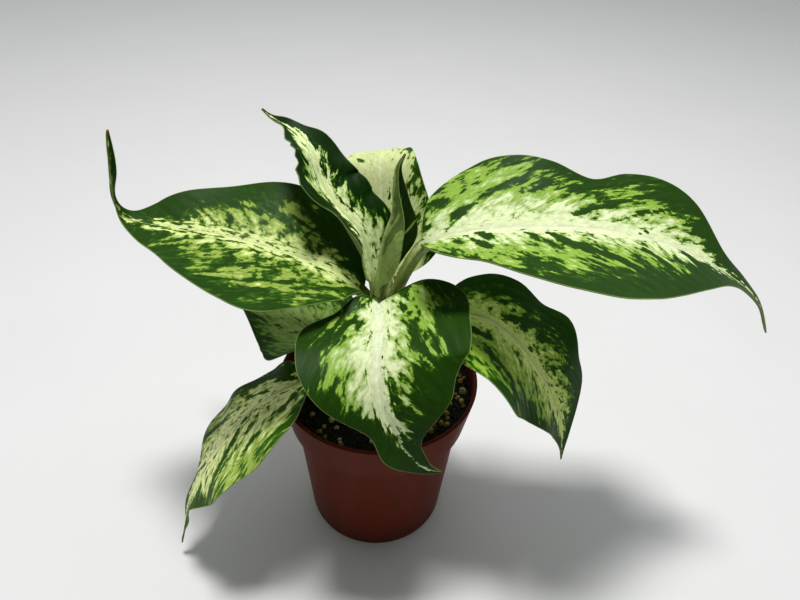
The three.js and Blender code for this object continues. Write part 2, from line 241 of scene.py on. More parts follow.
def run_tree(source: Object, tree: Tree, inputs: dict[str, object], name: str) -> Object:
    """Run a geometry tree on an object and keep the result as a plain mesh object.

    Args:
        source: the object that the tree starts from, which is removed.
        tree: the geometry tree.
        inputs: values for the tree's named inputs.
        name: the new object's name.

    Returns:
        The plain object.
    """
    modifier = source.modifiers.new(tree.name, "NODES")
    modifier.node_group = tree
    for item in tree.interface.items_tree:
        if item.name in inputs:
            modifier[item.identifier] = inputs[item.name]
    return applied(source, name)


def new_tree(name: str, inputs: dict[str, str]) -> tuple[Tree, Node, Node]:
    """Start a geometry tree.

    Args:
        name: the tree's name.
        inputs: socket type for each named input after the geometry.

    Returns:
        The tree, its input node and its output node.
    """
    tree = bpy.data.node_groups.new(name, "GeometryNodeTree")
    tree.is_modifier = True
    tree.interface.new_socket("Geometry", in_out="INPUT", socket_type="NodeSocketGeometry")
    tree.interface.new_socket("Geometry", in_out="OUTPUT", socket_type="NodeSocketGeometry")
    for label, kind in inputs.items():
        tree.interface.new_socket(label, in_out="INPUT", socket_type=kind)
    return tree, tree.nodes.new("NodeGroupInput"), tree.nodes.new("NodeGroupOutput")


def ring_faces(rings: int, sides: int) -> list[tuple[int, ...]]:
    """Close a body that has a point below, rings of points from the lowest up, and a point above.

    Args:
        rings: how many rings there are.
        sides: how many points each ring has.

    Returns:
        The faces, wound so that they face outwards.
    """
    faces = [(0, 1 + (j + 1) % sides, 1 + j) for j in range(sides)]
    for i in range(rings - 1):
        for j in range(sides):
            a, b = 1 + i * sides + j, 1 + i * sides + (j + 1) % sides
            faces.append((a, b, b + sides, a + sides))
    start, top = 1 + (rings - 1) * sides, 1 + rings * sides
    return faces + [(start + j, start + (j + 1) % sides, top) for j in range(sides)]


def dress(piece: Object, slot: str, *nodes: str) -> None:
    """Ride a finished piece on the root body, hide the nodes that it stands for, and log it with its slot."""
    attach(piece, ROOT)
    if nodes:
        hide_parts(*nodes)
    log.info("%s: %d faces, slot %s", piece.name, len(piece.data.polygons), slot)


# ---------- finishes ----------


@dataclass(frozen=True)
class PolypropyleneFinish:
    """Injection-moulded polypropylene: satin, with a faint flow of tone down the wall and pale scuffs."""

    body: str = "#50190a"
    flow: str = "#63240f"
    scuff: str = "#9a7468"
    roughness: tuple[float, float] = (0.37, 0.52)  # where the tone is the body's and where it is the flow's
    sheen: float = 0.07  # how much light the surface turns back
    flow_width: float = 6.0  # mm, streaks left by the melt's flow
    flow_stretch: float = 0.06  # lower for longer streaks
    scuff_size: float = 2.2  # mm, larger than the real dust-sized marks so that they show
    scuff_span: tuple[float, float] = (0.68, 0.76)  # values of the noise between which a scuff comes up
    scuff_share: float = 0.5
    relief: tuple[float, float] = (0.12, 0.1)

    def material(self) -> Material:
        """Build the material."""
        material, tree = new_material("polypropylene, injection moulded")
        place = add(tree, "ShaderNodeTexCoord", output="Object")
        down = add(tree, "ShaderNodeMapping", Vector=place, Scale=(1, 1, self.flow_stretch))
        streaks = add(tree, NOISE, Vector=down, Scale=1 / (self.flow_width * MM), Detail=3.0)
        scuffs = add(tree, NOISE, Vector=place, Scale=1 / (self.scuff_size * MM), Detail=4.0, Roughness=0.7)
        worn = add(tree, *EASED, scuffs, *self.scuff_span, 0, self.scuff_share)
        tone = add(tree, *BLEND, i0=streaks, i6=self.body, i7=self.flow, output=2)
        colour = add(tree, *BLEND, i0=worn, i6=tone, i7=self.scuff, output=2)
        shader = coat(tree, colour, add(tree, *EVEN, streaks, 0, 1, *self.roughness), scuffs, self.relief)
        shader.inputs["Specular IOR Level"].default_value = self.sheen
        return material


@dataclass(frozen=True)
class PeatFinish:
    """Moist sphagnum peat: almost black fibres and crumbs that drink the light."""

    wet: str = "#0b0806"
    dry: str = "#2a1d13"
    dry_span: tuple[float, float] = (0.5, 0.8)  # values of the noise between which it dries
    crumb: float = 1.2  # mm, the size of a crumb
    roughness: float = 0.9
    relief: tuple[float, float] = (0.8, 0.4)

    def material(self) -> Material:
        """Build the material."""
        material, tree = new_material("sphagnum peat, moist")
        place = add(tree, "ShaderNodeTexCoord", output="Object")
        grain = add(tree, NOISE, Vector=place, Scale=1 / (self.crumb * MM), Detail=5.0, Roughness=0.7)
        dryness = add(tree, *EVEN, grain, *self.dry_span)
        colour = add(tree, *BLEND, i0=dryness, i6=self.wet, i7=self.dry, output=2)
        coat(tree, colour, self.roughness, grain, self.relief)
        return material


@dataclass(frozen=True)
class PerliteFinish:
    """Expanded perlite stained by the wet peat: porous, from chalky white to ochre, with painted shade inside
    its open pores.
    """

    pale: str = "#d6cd9c"
    stained: str = "#a98f35"
    # painted shade, the dark colour inside each open pore
    painted_pore_shade: str = "#2a2010"
    patch: float = 7.0  # mm, grains this far apart differ in stain
    stain_span: tuple[float, float] = (0.68, 0.52)  # values of the noise between which the stain comes up
    pore: float = 0.5  # mm, the open cells at the surface
    pore_span: tuple[float, float] = (0.3, 0.6)  # values of the noise from inside a pore to its rim
    pore_shade_share: float = 0.35  # share of the grain's own colour that is left inside a pore under the painted shade
    roughness: float = 0.85
    relief: tuple[float, float] = (0.6, 0.2)

    def material(self) -> Material:
        """Build the material."""
        material, tree = new_material("perlite, expanded")
        place = add(tree, "ShaderNodeTexCoord", output="Object")
        patches = add(tree, NOISE, Vector=place, Scale=1 / (self.patch * MM), Detail=1.0)
        stain = add(tree, *EVEN, patches, *self.stain_span)
        pores = add(tree, NOISE, Vector=place, Scale=1 / (self.pore * MM), Detail=3.0, Roughness=0.7)
        # painted shade: dark inside each pore, the grain's own colour towards its rim
        light = add(tree, *EVEN, pores, *self.pore_span, self.pore_shade_share, 1)
        grain = add(tree, *BLEND, i0=stain, i6=self.pale, i7=self.stained, output=2)
        colour = add(tree, *BLEND, i0=light, i6=self.painted_pore_shade, i7=grain, output=2)
        coat(tree, colour, self.roughness, pores, self.relief)
        return material


@dataclass(frozen=True)
class StemFinish:
    """Young green stem epidermis: satin, olive green with paler rings where leaves joined it."""

    green: str = "#5f7a36"
    pale: str = "#9aa866"
    ring_spacing: float = 9.0  # mm between the scars
    ring_span: tuple[float, float] = (0.7, 1.0)  # part of the wave between two scars that is a scar
    ring_share: float = 0.7
    mottle: float = 4.0  # mm
    mottle_share: float = 0.4
    roughness: float = 0.5
    relief: tuple[float, float] = (0.3, 0.3)

    def material(self) -> Material:
        """Build the material."""
        material, tree = new_material("stem epidermis, green")
        place = add(tree, "ShaderNodeTexCoord", output="Object")
        height = add(tree, "ShaderNodeSeparateXYZ", Vector=place, output=2)
        mottle = add(tree, NOISE, Vector=place, Scale=1 / (self.mottle * MM), Detail=4.0)
        turns = add(tree, *MULTIPLY_ADD, height, 2 * math.pi / (self.ring_spacing * MM), mottle)
        scars = add(tree, *EVEN, add(tree, *SINE, turns), *self.ring_span, 0, self.ring_share)
        share = add(tree, *MULTIPLY_ADD, mottle, self.mottle_share, scars)
        colour = add(tree, *BLEND, i0=share, i6=self.green, i7=self.pale, output=2)
        coat(tree, colour, self.roughness, share, self.relief)
        return material


@dataclass(frozen=True)
class BladeFinish:
    """Variegated leaf tissue under a thin waxy cuticle.

    The dark green holds chlorophyll, the lime and cream hold less or none, and they meet in patches drawn out
    along the side veins. The wax gives a soft, broad gloss on the upper face; the underside is paler and
    duller. Four sizes of noise make the pattern, each given in millimetres across and along the side veins.
    """

    seed: float
    patch: tuple[float, float] = (9.0, 13.0)
    blot: tuple[float, float] = (3.8, 5.6)
    fleck: tuple[float, float] = (1.6, 2.3)
    speck: tuple[float, float] = (2.6, 3.6)
    # how far patches, blots and flecks break up the heart, and the cream within it
    pale_gains: tuple[float, float, float] = (4.4, 5.4, 2.2)
    cream_gains: tuple[float, float, float] = (2.0, 2.4, 1.2)
    speck_limit: float = 0.16  # lower for more lone dark specks inside the heart
    speck_depth: float = 1.1
    vein_spacing: float = 11.0  # mm between the pale side veins
    vein_sway: float = 4.0
    vein_gain: float = 0.3
    veinlet_spacing: float = 1.6  # mm between the finest veins, which only show as relief
    veinlet_gain: float = 0.06
    creaminess: float = 0.35  # how soon lime gives way to cream towards the middle of the heart
    white_reach: float = 24.0  # mm from the rib over which the cream thins out
    softness: float = 1.0  # above 1, dark and pale run into each other
    dark: str = "#1f3d08"
    green: str = "#315510"
    mid: str = "#52791d"
    lime: str = "#83a43d"
    cream: str = "#cdd9a0"
    under: str = "#7f9850"
    stalk: str = "#b3bf6c"
    rib: str = "#c9d49c"
    halo: float = 5.0  # mm, half width of the calm pale band along the rib
    rib_width: float = 2.2  # mm, half of the pale rib where the blade begins
    rib_end: float = 0.85  # share of the blade where the pale rib fades out
    edge: str = "#8fa35c"
    tip: str = "#6b3f22"  # the last millimetres dry out brown
    tip_start: float = 0.975
    unevenness: float = 0.25  # how much blots and flecks lighten and darken each colour
    gloss: tuple[float, float] = (0.45, 0.7)  # roughness of the upper face and of the underside
    sheen: float = 0.06  # how much light the wax turns back
    relief: tuple[float, float] = (0.3, 0.2)

    def _noise(self, tree: Tree, vein_space: Socket, size: tuple[float, float], rough: float) -> Socket:
        """Draw one size of patches in the leaf's own vein directions.

        Args:
            tree: the material's tree.
            vein_space: the place in millimetres across and along the side veins, with a seed as its third.
            size: millimetres of one patch across and along the side veins.
            rough: how ragged the patches are, from 0 to 1.

        Returns:
            The noise, centred on 0.
        """
        scaled = add(tree, "ShaderNodeVectorMath", {"operation": "DIVIDE"}, i0=vein_space, i1=(*size, 1))
        drawn = add(tree, NOISE, Vector=scaled, Scale=1.0, Detail=3.0, Roughness=rough, Distortion=0.3)
        return add(tree, *SUBTRACT, drawn, 0.5)

    def _levels(self, tree: Tree, read: dict[str, Socket]) -> tuple[Socket, ...]:
        """Work out where the tissue is pale and how creamy it is.

        Args:
            tree: the material's tree.
            read: the leaf's attributes.

        Returns:
            The pale level, below 0 where it is green; the creaminess from 0 to 1; the blots and the flecks.
        """
        # both halves run on into each other at the rib and differ from 5 mm out
        half = add(tree, *EVEN, read["across"], -5, 5, self.seed - 3, self.seed + 3)
        vein_space = add(tree, "ShaderNodeCombineXYZ", i0=read["vein"], i1=read["run"], i2=half)
        patches, blots, flecks, specks = (
            self._noise(tree, vein_space, size, rough)
            for size, rough in ((self.patch, 0.5), (self.blot, 0.55), (self.fleck, 0.6), (self.speck, 0.5))
        )
        turns = add(tree, *MULTIPLY, read["vein"], 2 * math.pi / self.vein_spacing)
        crest = add(tree, *COSINE, add(tree, *MULTIPLY_ADD, patches, self.vein_sway, turns))
        line = add(tree, *EASED, crest, 0.8, 1)
        near_heart = add(tree, *EASED, read["heart"], -0.9, 0.3, 0, self.vein_gain)
        from_rib = add(tree, *ABSOLUTE, read["across"])
        calm = add(tree, *EASED, from_rib, self.halo, self.halo * 0.2)
        halo = add(tree, *MULTIPLY, calm, add(tree, *EVEN, read["heart"], -0.2, 1))
        level = add(tree, *ADD, read["heart"], add(tree, *MULTIPLY_ADD, line, near_heart, halo))
        whiter = add(tree, *ADD, add(tree, *EVEN, from_rib, 0, self.white_reach, 0.9, 0), halo)
        milk = add(tree, *MULTIPLY_ADD, read["heart"], self.creaminess, whiter)
        for drawn, pale_gain, cream_gain in zip((patches, blots, flecks), self.pale_gains, self.cream_gains):
            level = add(tree, *MULTIPLY_ADD, drawn, pale_gain, level)
            milk = add(tree, *MULTIPLY_ADD, drawn, cream_gain, milk)
        speck_span = self.speck_limit, self.speck_limit + 0.05
        dots = add(tree, *EASED, specks, *speck_span, 0, self.speck_depth)
        level = add(tree, *SUBTRACT, level, dots)
        return level, add(tree, *EASED, milk, 0.25, 1.15), blots, flecks

    def _rib_share(self, tree: Tree, read: dict[str, Socket]) -> Socket:
        """Mask the pale rib, which narrows towards the tip and fades out before it."""
        narrowing = add(tree, *EVEN, read["blade"], 0, 0.9, self.rib_width, self.rib_width * 0.2)
        beside = add(tree, *DIVIDE, add(tree, *ABSOLUTE, read["across"]), narrowing)
        on_rib = add(tree, *EASED, beside, 1.1, 0.5, 0, 0.9)
        kept = add(tree, *EASED, read["blade"], self.rib_end, self.rib_end - 0.25)
        return add(tree, *MULTIPLY, on_rib, kept)

    def material(self, name: str) -> Material:
        """Build the material.

        Args:
            name: the leaf's name.

        Returns:
            The material, which reads the leaf's own attributes.
        """
        material, tree = new_material(f"variegated leaf tissue, {name}")
        read = {
            label: add(tree, "ShaderNodeAttribute", {"attribute_name": label}, output="Fac")
            for label in ("vein", "run", "across", "blade", "heart", "rim", "under")
        }
        level, cream, blots, flecks = self._levels(tree, read)
        level = add(tree, *DIVIDE, level, self.softness)
        green = add(tree, "ShaderNodeValToRGB", Fac=add(tree, *EVEN, level, -1, 1))
        stops = [(0.15, self.dark), (0.36, self.green), (0.45, self.mid), (0.53, self.lime)]
        set_ramp(green.node.color_ramp, stops)
        pale = add(tree, *BLEND, i0=cream, i6=self.lime, i7=self.cream, output=2)
        tissue = add(tree, *BLEND, i0=add(tree, *EASED, level, 0, 0.25), i6=green, i7=pale, output=2)
        layers = (
            (self._rib_share(tree, read), self.rib),
            (add(tree, *EASED, read["blade"], 0.02, -0.06), self.stalk),
            (add(tree, *EASED, read["rim"], 0.35, 0.1, 0, 0.6), self.edge),
            (add(tree, *MULTIPLY, read["under"], 0.5), self.under),
            (add(tree, *EVEN, read["blade"], self.tip_start, 1, 0, 0.8), self.tip),
        )
        for share, layer in layers:
            tissue = add(tree, *BLEND, i0=share, i6=tissue, i7=layer, output=2)
        uneven = add(tree, *ADD, blots, flecks)
        tone = add(tree, *EVEN, uneven, -0.4, 0.4, 1 - self.unevenness, 1 + self.unevenness)
        colour = add(tree, "ShaderNodeHueSaturation", Value=tone, Color=tissue)
        ridges = add(tree, *MULTIPLY, read["vein"], 2 * math.pi / self.veinlet_spacing)
        height = add(tree, *MULTIPLY_ADD, add(tree, *SINE, ridges), self.veinlet_gain, flecks)
        shader = coat(tree, colour, add(tree, *EVEN, read["under"], 0, 1, *self.gloss), height, self.relief)
        shader.inputs["Specular IOR Level"].default_value = self.sheen
        return material


# ---------- pot ----------


@dataclass
class Pot:
    """Nursery pot: a tapered wall, a wider rim band, three feet with a drain slot between each pair."""

    height: float = 99.3
    rim_radius: float = 52.5
    band_foot_radius: float = 48.3
    band_foot_height: float = 75
    shoulder_radius: float = 44.6
    shoulder_height: float = 70
    base_radius: float = 39
    wall: float = 1.5
    floor: float = 2
    inner_flare: float = 0.3  # how far the wall thins at the raised floor
    inner_rise: float = 0.5  # how much higher the inner wall steps out than the outer one
    lip_width: float = 2.1
    lip_inside: tuple[float, float] = (2.2, 1)  # in from the rim and down from its top, where the lip begins
    step_radius: float = 30
    step_height: float = 6
    arch_height: float = 3.5
    arch_angle: float = 68
    foot_angle: float = 266
    slot_radii: tuple[float, float] = (32, 36)
    slot_angle: float = 22
    sides: int = 144
    sharp_angle: float = 35

    @property
    def inside(self) -> list[tuple[float, float]]:
        """Inner wall from the raised floor to just under the lip, as radius and height."""
        return [
            (self.base_radius - self.wall + self.inner_flare, self.step_height),
            (self.shoulder_radius - self.wall, self.shoulder_height + self.inner_rise),
            (self.band_foot_radius - self.wall, self.band_foot_height + self.inner_rise),
            (self.rim_radius - self.lip_inside[0], self.height - self.lip_inside[1]),
        ]

    def _profile(self) -> list[tuple[float, float]]:
        """Round the corners of the pot's section.

        Returns:
            Radius and height of each point, from the middle of the underside to the middle of the floor.
        """
        # radius, height and rounding of each corner
        outline = [
            (self.base_radius, 0, 1.2), (self.shoulder_radius, self.shoulder_height, 1.0),
            (self.band_foot_radius, self.band_foot_height, 1.2), (self.rim_radius, self.height, 0.8),
            (self.rim_radius - self.lip_width, self.height, 0.6),
            *((radius, height, 0.8) for radius, height in self.inside[2::-1]),
            (self.step_radius, self.step_height, 0.6), (self.step_radius - 1, self.floor, 0.6),
        ]
        corners = [Vector((radius, height)) for radius, height, _ in outline]
        ends = [Vector((0, 0)), *corners, Vector((0, self.floor))]
        profile = [(0.0, 0.0)]
        for i, (corner, (_, _, rounding)) in enumerate(zip(corners, outline), start=1):
            start = corner + (ends[i - 1] - corner).normalized() * rounding
            end = corner + (ends[i + 1] - corner).normalized() * rounding
            for t in (0.0, 0.33, 0.67, 1.0):
                bent = start.lerp(corner, t).lerp(corner.lerp(end, t), t)
                profile.append((bent.x, bent.y))
        profile.append((0.0, self.floor))
        return profile

    def _turning_tree(self) -> Tree:
        """Build the tree that turns a row of points about Z into a closed wall."""
        inputs = {"Sides": "NodeSocketInt", "Material": "NodeSocketMaterial"}
        tree, given, made = new_tree("turned wall", inputs)
        line = given.outputs["Geometry"]
        count = add(tree, "GeometryNodeAttributeDomainSize", Geometry=line, output="Point Count")
        columns = add(tree, *ADD, given.outputs["Sides"], 1.0)
        grid = add(tree, "GeometryNodeMeshGrid", Size_X=1.0, Size_Y=1.0, Vertices_X=columns, Vertices_Y=count)
        position = add(tree, "GeometryNodeInputPosition")
        place = add(tree, "ShaderNodeSeparateXYZ", Vector=position).node.outputs
        angle = add(tree, *MULTIPLY_ADD, place[0], 2 * math.pi, math.pi)
        row = add(tree, *MULTIPLY, add(tree, *ADD, place[1], 0.5), add(tree, *SUBTRACT, count, 1.0))
        number = add(tree, "FunctionNodeFloatToInt", {"rounding_mode": "ROUND"}, Float=row)
        profile = add(
            tree, "GeometryNodeSampleIndex", {"data_type": "FLOAT_VECTOR", "domain": "POINT"}, Geometry=line,
            Value=position, Index=number,
        )
        section = add(tree, "ShaderNodeSeparateXYZ", Vector=profile).node.outputs
        x, y = (add(tree, *MULTIPLY, section[0], add(tree, *turn, angle)) for turn in (COSINE, SINE))
        turned = add(tree, "ShaderNodeCombineXYZ", i0=x, i1=y, i2=section[2])
        wall = add(tree, "GeometryNodeSetPosition", Geometry=grid, Position=turned)
        closed = add(tree, "GeometryNodeMergeByDistance", Geometry=wall, Distance=0.005 * MM)
        real = add(tree, "GeometryNodeRealizeInstances", Geometry=closed)
        dressed = add(tree, "GeometryNodeSetMaterial", Geometry=real, Material=given.outputs["Material"])
        tree.links.new(dressed, made.inputs[0])
        return tree

    @staticmethod
    def _ring_slice(
        radii: tuple[float, float], direction: float, angle: float, heights: tuple[float, float]
    ) -> tuple[list, list]:
        """Make a block between two radii and two heights.

        Args:
            radii: the inner and the outer radius.
            direction: degrees from +X to the block's middle.
            angle: degrees that the block spans.
            heights: of its underside and its top.

        Returns:
            Its points and its faces.
        """
        (inner, outer), (low, high) = radii, heights
        turns = np.radians(direction + np.linspace(-angle / 2, angle / 2, 13))
        last = len(turns) - 1
        points = [
            (radius * math.cos(turn), radius * math.sin(turn), height)
            for turn in turns
            for radius, height in ((inner, low), (outer, low), (outer, high), (inner, high))
        ]
        faces = [(3, 2, 1, 0), tuple(4 * last + k for k in range(4))]
        for i in range(last):
            for k in range(4):
                a, b = 4 * i + k, 4 * i + (k + 1) % 4
                faces.append((a, b, b + 4, a + 4))
        return points, faces

    def build(self, finish: PolypropyleneFinish) -> Object:
        """Turn the wall, cut the arches and the drain slots, and dress the pot.

        Args:
            finish: the pot's plastic.

        Returns:
            The pot.
        """
        points = np.array([(radius, 0, height) for radius, height in self._profile()])
        row = new_object("pot profile", points, [], None)
        settings = {"Sides": self.sides, "Material": finish.material()}
        pot = run_tree(row, self._turning_tree(), settings, "nursery_pot")
        slices = []
        for k in range(3):
            direction = self.foot_angle + 60 + k * 120
            arch_radii, arch_heights = (self.step_radius + 1, self.base_radius + 5), (-1, self.arch_height)
            slot_heights = self.arch_height - 1, self.step_height + 1
            slices.append((arch_radii, direction, self.arch_angle, arch_heights))
            slices.append((self.slot_radii, direction, self.slot_angle, slot_heights))
        for block in slices:
            cutter = new_object("cutter", *self._ring_slice(*block), None)
            cut = pot.modifiers.new("cut", "BOOLEAN")
            cut.operation, cut.solver, cut.object = "DIFFERENCE", "EXACT", cutter
            pot = applied(pot, "nursery_pot")
            bpy.data.objects.remove(cutter)
        pot.data.shade_smooth()
        pot.data.set_sharp_from_angle(angle=math.radians(self.sharp_angle))
        dress(pot, "pot_plastic", "pot")
        return pot


# ---------- potting mix ----------


@dataclass
class PottingMix:
    """Peat that fills the pot, with crumbs and grains of perlite on its surface."""

    pot: Pot
    edge_height: float = 93
    middle_height: float = 95.2
    dome: float = 0.9  # share of the fall from the middle to the edge that lies inside the grains' reach
    unevenness: float = 0.5
    ripple: tuple[float, float, float] = (0.31, 0.27, 1.3)  # radians a millimetre in X and Y, and the phase
    cross_ripple: tuple[float, float, float] = (0.62, 0.49, 0.6)  # the same in X and Y, and its share
    calm_edge: tuple[float, float] = (-4, 1)  # past the grains' reach, where the ups and downs fade out
    crumble: float = 0.55  # height of the crumbly relief
    crumble_rate: float = 0.6  # its waves a millimetre
    grain_reach: float = 46  # no grain lies further out than this
    grains: int = 70
    grain_size: tuple[float, float] = (0.9, 1.7)
    seed: int = 7
    stem_radius: float = 7
    crumbs_per_area: float = 450000  # on a square metre
    crumb_radius: tuple[float, float] = (0.35, 1.0)
    grain_shape: tuple[float, float, float] = (1.15, 0.9, 0.8)
    grain_turn: tuple[float, float, float] = (6.28, 6.28, 6.28)  # radians about each axis, at most
    grain_break: float = 1.6  # how far a grain's corners are moved at most
    break_rate: float = 900.0  # patches a metre in which they move together
    grain_lift: float = 0.3  # share of its size by which a grain stands above the surface
    # crumbs lie from this far off the stem to this far past the grains
    ground_span: tuple[float, float] = (1.5, 2.4)
    ground_rings: int = 14
    ground_sides: int = 48
    rings: int = 60
    sides: int = 160
    # grains that show in front of the leaves: X, Y and radius
    shown: list[tuple[float, float, float]] = field(
        default_factory=lambda: [
            (-32, -25, 1.6), (-22, -29, 1.7), (-19, -33, 1.3), (-27, -36, 1.4), (-25, -33, 1.1),
            (-16, -43, 1.5), (-24, -39, 1.2), (-1, -41, 1.3), (44, 2, 1.8), (46, 5, 1.3), (45, -5, 2.4),
            (42, -9, 1.4), (44, -12, 1.5), (45, -15, 1.2), (36, -28, 1.6),
        ]
    )

    def surface(self, x: np.ndarray | float, y: np.ndarray | float) -> np.ndarray | float:
        """Give the height of the gently uneven surface."""
        radius = np.hypot(x, y)
        start, end = self.calm_edge
        fade = 1 - smooth(radius, self.grain_reach + start, self.grain_reach + end)
        (x_rate, y_rate, phase), (x_cross, y_cross, cross_share) = self.ripple, self.cross_ripple
        ripple = np.sin(x * x_rate + phase) * np.cos(y * y_rate)
        ripple = ripple + cross_share * np.sin(x * x_cross - y * y_cross)
        dome = mix(self.middle_height, self.edge_height, (radius / self.grain_reach) ** 2 * self.dome)
        return dome + ripple * self.unevenness * fade

    def _body(self, material: Material) -> Object:
        """Make the closed body of peat with a crumbly top.

        Args:
            material: the peat.

        Returns:
            The body.
        """
        pot, gap = self.pot, CLEARANCE
        (foot_radius, foot_height), (lip_radius, lip_height) = pot.inside[2:]
        share = (self.edge_height - foot_height) / (lip_height - foot_height)
        edge = mix(foot_radius, lip_radius, share) - gap
        walls = [(radius - gap, height + gap) for radius, height in pot.inside[:3]]
        low = [(pot.step_radius - 1 - gap, pot.floor + gap), (pot.step_radius - gap, pot.step_height + gap)]
        sides = [*low, *walls, (edge, self.edge_height)]
        radii = [edge * (1 - k / self.rings) for k in range(1, self.rings)]
        turns = np.linspace(0, 2 * math.pi, self.sides, endpoint=False)
        points = [(0.0, 0.0, pot.floor + gap)]
        for radius, height in sides:
            points += [(radius * math.cos(t), radius * math.sin(t), height) for t in turns]
        for radius in radii:
            for t in turns:
                x, y = radius * math.cos(t), radius * math.sin(t)
                crumble = noise.fractal(Vector((x, y, 0)) * self.crumble_rate, 0.7, 2.0, 4) * self.crumble
                points.append((x, y, float(self.surface(x, y)) + crumble * smooth(edge - radius, 0, 2)))
        points.append((0.0, 0.0, float(self.surface(0.0, 0.0))))
        return new_object("peat", np.array(points), ring_faces(len(sides) + len(radii), self.sides), material)

    def _scatter_tree(self) -> Tree:
        """Build the tree that strews rough crumbs over faces."""
        tree, given, made = new_tree(
            "strewn crumbs",
            {
                "Crumbs per area": "NodeSocketFloat", "Smallest": "NodeSocketFloat",
                "Largest": "NodeSocketFloat", "Seed": "NodeSocketInt", "Material": "NodeSocketMaterial",
            },
        )
        points = add(
            tree, "GeometryNodeDistributePointsOnFaces", Mesh=given.outputs["Geometry"],
            Density=given.outputs["Crumbs per area"], Seed=given.outputs["Seed"],
        )
        size = add(
            tree, "FunctionNodeRandomValue", {"data_type": "FLOAT"}, i2=given.outputs["Smallest"],
            i3=given.outputs["Largest"], Seed=given.outputs["Seed"], output=1,
        )
        self._grain_nodes(tree, points, size, 1, given, made)
        return tree

    def _placed_tree(self) -> Tree:
        """Build the tree that sets a rough grain on each point, with the point's own size."""
        inputs = {"Seed": "NodeSocketInt", "Material": "NodeSocketMaterial"}
        tree, given, made = new_tree("placed grains", inputs)
        points = add(tree, "GeometryNodeMeshToPoints", Mesh=given.outputs["Geometry"])
        size = add(tree, "GeometryNodeInputNamedAttribute", {"data_type": "FLOAT"}, Name="size")
        self._grain_nodes(tree, points, size, 2, given, made)
        return tree

    def _grain_nodes(
        self, tree: Tree, points: Socket, size: Socket, detail: int, given: Node, made: Node
    ) -> None:
        """Finish a tree: a turned, roughened lump of the given size on each point.

        Args:
            tree: the tree.
            points: where the lumps go.
            size: each lump's radius in metres.
            detail: 1 for a lump of 20 faces, 2 for one of 80.
            given: the tree's input node.
            made: the tree's output node.
        """
        lump = add(tree, "GeometryNodeMeshIcoSphere", Radius=1.0, Subdivisions=detail)
        turn = add(
            tree, "FunctionNodeRandomValue", {"data_type": "FLOAT_VECTOR"}, i0=(0, 0, 0), i1=self.grain_turn,
            Seed=given.outputs["Seed"],
        )
        strewn = add(
            tree, "GeometryNodeInstanceOnPoints", Points=points, Instance=lump, Rotation=turn, Scale=size
        )
        squashed = add(tree, "GeometryNodeScaleInstances", Instances=strewn, Scale=self.grain_shape)
        real = add(tree, "GeometryNodeRealizeInstances", Geometry=squashed)
        position = add(tree, "GeometryNodeInputPosition")
        rough = add(
            tree, NOISE, {"noise_dimensions": "3D"}, Vector=position, Scale=self.break_rate,
            Detail=2.0, output=1,
        )
        centred = add(tree, "ShaderNodeVectorMath", {"operation": "SUBTRACT"}, i0=rough, i1=(0.5, 0.5, 0.5))
        shift = add(
            tree, "ShaderNodeVectorMath", {"operation": "SCALE"}, i0=centred, Scale=self.grain_break * MM
        )
        broken = add(tree, "GeometryNodeSetPosition", Geometry=real, Offset=shift)
        dressed = add(tree, "GeometryNodeSetMaterial", Geometry=broken, Material=given.outputs["Material"])
        tree.links.new(dressed, made.inputs[0])

    def _grain_places(self) -> list[tuple[float, float, float]]:
        """Give X, Y and radius of each perlite grain, from the solid's seeded draws and the shown ones."""
        draws = iter(seeded_draws(self.seed, 4 * self.grains))
        small, large = self.grain_size
        places = []
        for _ in range(self.grains):
            radius = mix(self.stem_radius + 3, self.grain_reach - 1, math.sqrt(next(draws)))
            angle = next(draws) * 2 * math.pi
            size = mix(small, large, next(draws) ** 2)
            next(draws)  # the solid's turn of the grain
            places.append((radius * math.cos(angle), radius * math.sin(angle), size))
        return places + self.shown

    def _ground(self) -> Object:
        """Make the bare surface on which the crumbs are strewn."""
        sides, (start, end) = self.ground_sides, self.ground_span
        radii = np.linspace(self.stem_radius + start, self.grain_reach + end, self.ground_rings)
        turns = np.linspace(0, 2 * math.pi, sides, endpoint=False)
        spots = [(radius * math.cos(t), radius * math.sin(t)) for radius in radii for t in turns]
        faces = []
        for first in range(0, sides * (self.ground_rings - 1), sides):
            for j in range(sides):
                k = (j + 1) % sides
                faces.append((first + j, first + sides + j, first + sides + k, first + k))
        return new_object("ground", np.array([(x, y, self.surface(x, y)) for x, y in spots]), faces, None)

    def build(self, peat: PeatFinish, perlite: PerliteFinish) -> list[Object]:
        """Make the peat, its crumbs and the perlite.

        Args:
            peat: finish of the body and the crumbs.
            perlite: finish of the grains.

        Returns:
            The three pieces.
        """
        material = peat.material()
        body = self._body(material)
        smallest, largest = self.crumb_radius
        strewing = {
            "Crumbs per area": self.crumbs_per_area, "Smallest": smallest * MM, "Largest": largest * MM,
            "Seed": self.seed, "Material": material,
        }
        crumbs = run_tree(self._ground(), self._scatter_tree(), strewing, "peat_crumbs")
        places = self._grain_places()
        dots = np.array([(x, y, self.surface(x, y) + size * self.grain_lift) for x, y, size in places])
        seeds = new_object("grain places", dots, [], None)
        sizes = seeds.data.attributes.new("size", "FLOAT", "POINT")
        sizes.data.foreach_set("value", [size * MM for _, _, size in places])
        placing = {"Seed": self.seed, "Material": perlite.material()}
        grains = run_tree(seeds, self._placed_tree(), placing, "perlite_grains")
        dress(body, "potting_mix", "soil")
        dress(crumbs, "potting_mix")
        dress(grains, "potting_mix")
        return [body, crumbs, grains]


# ---------- stem ----------


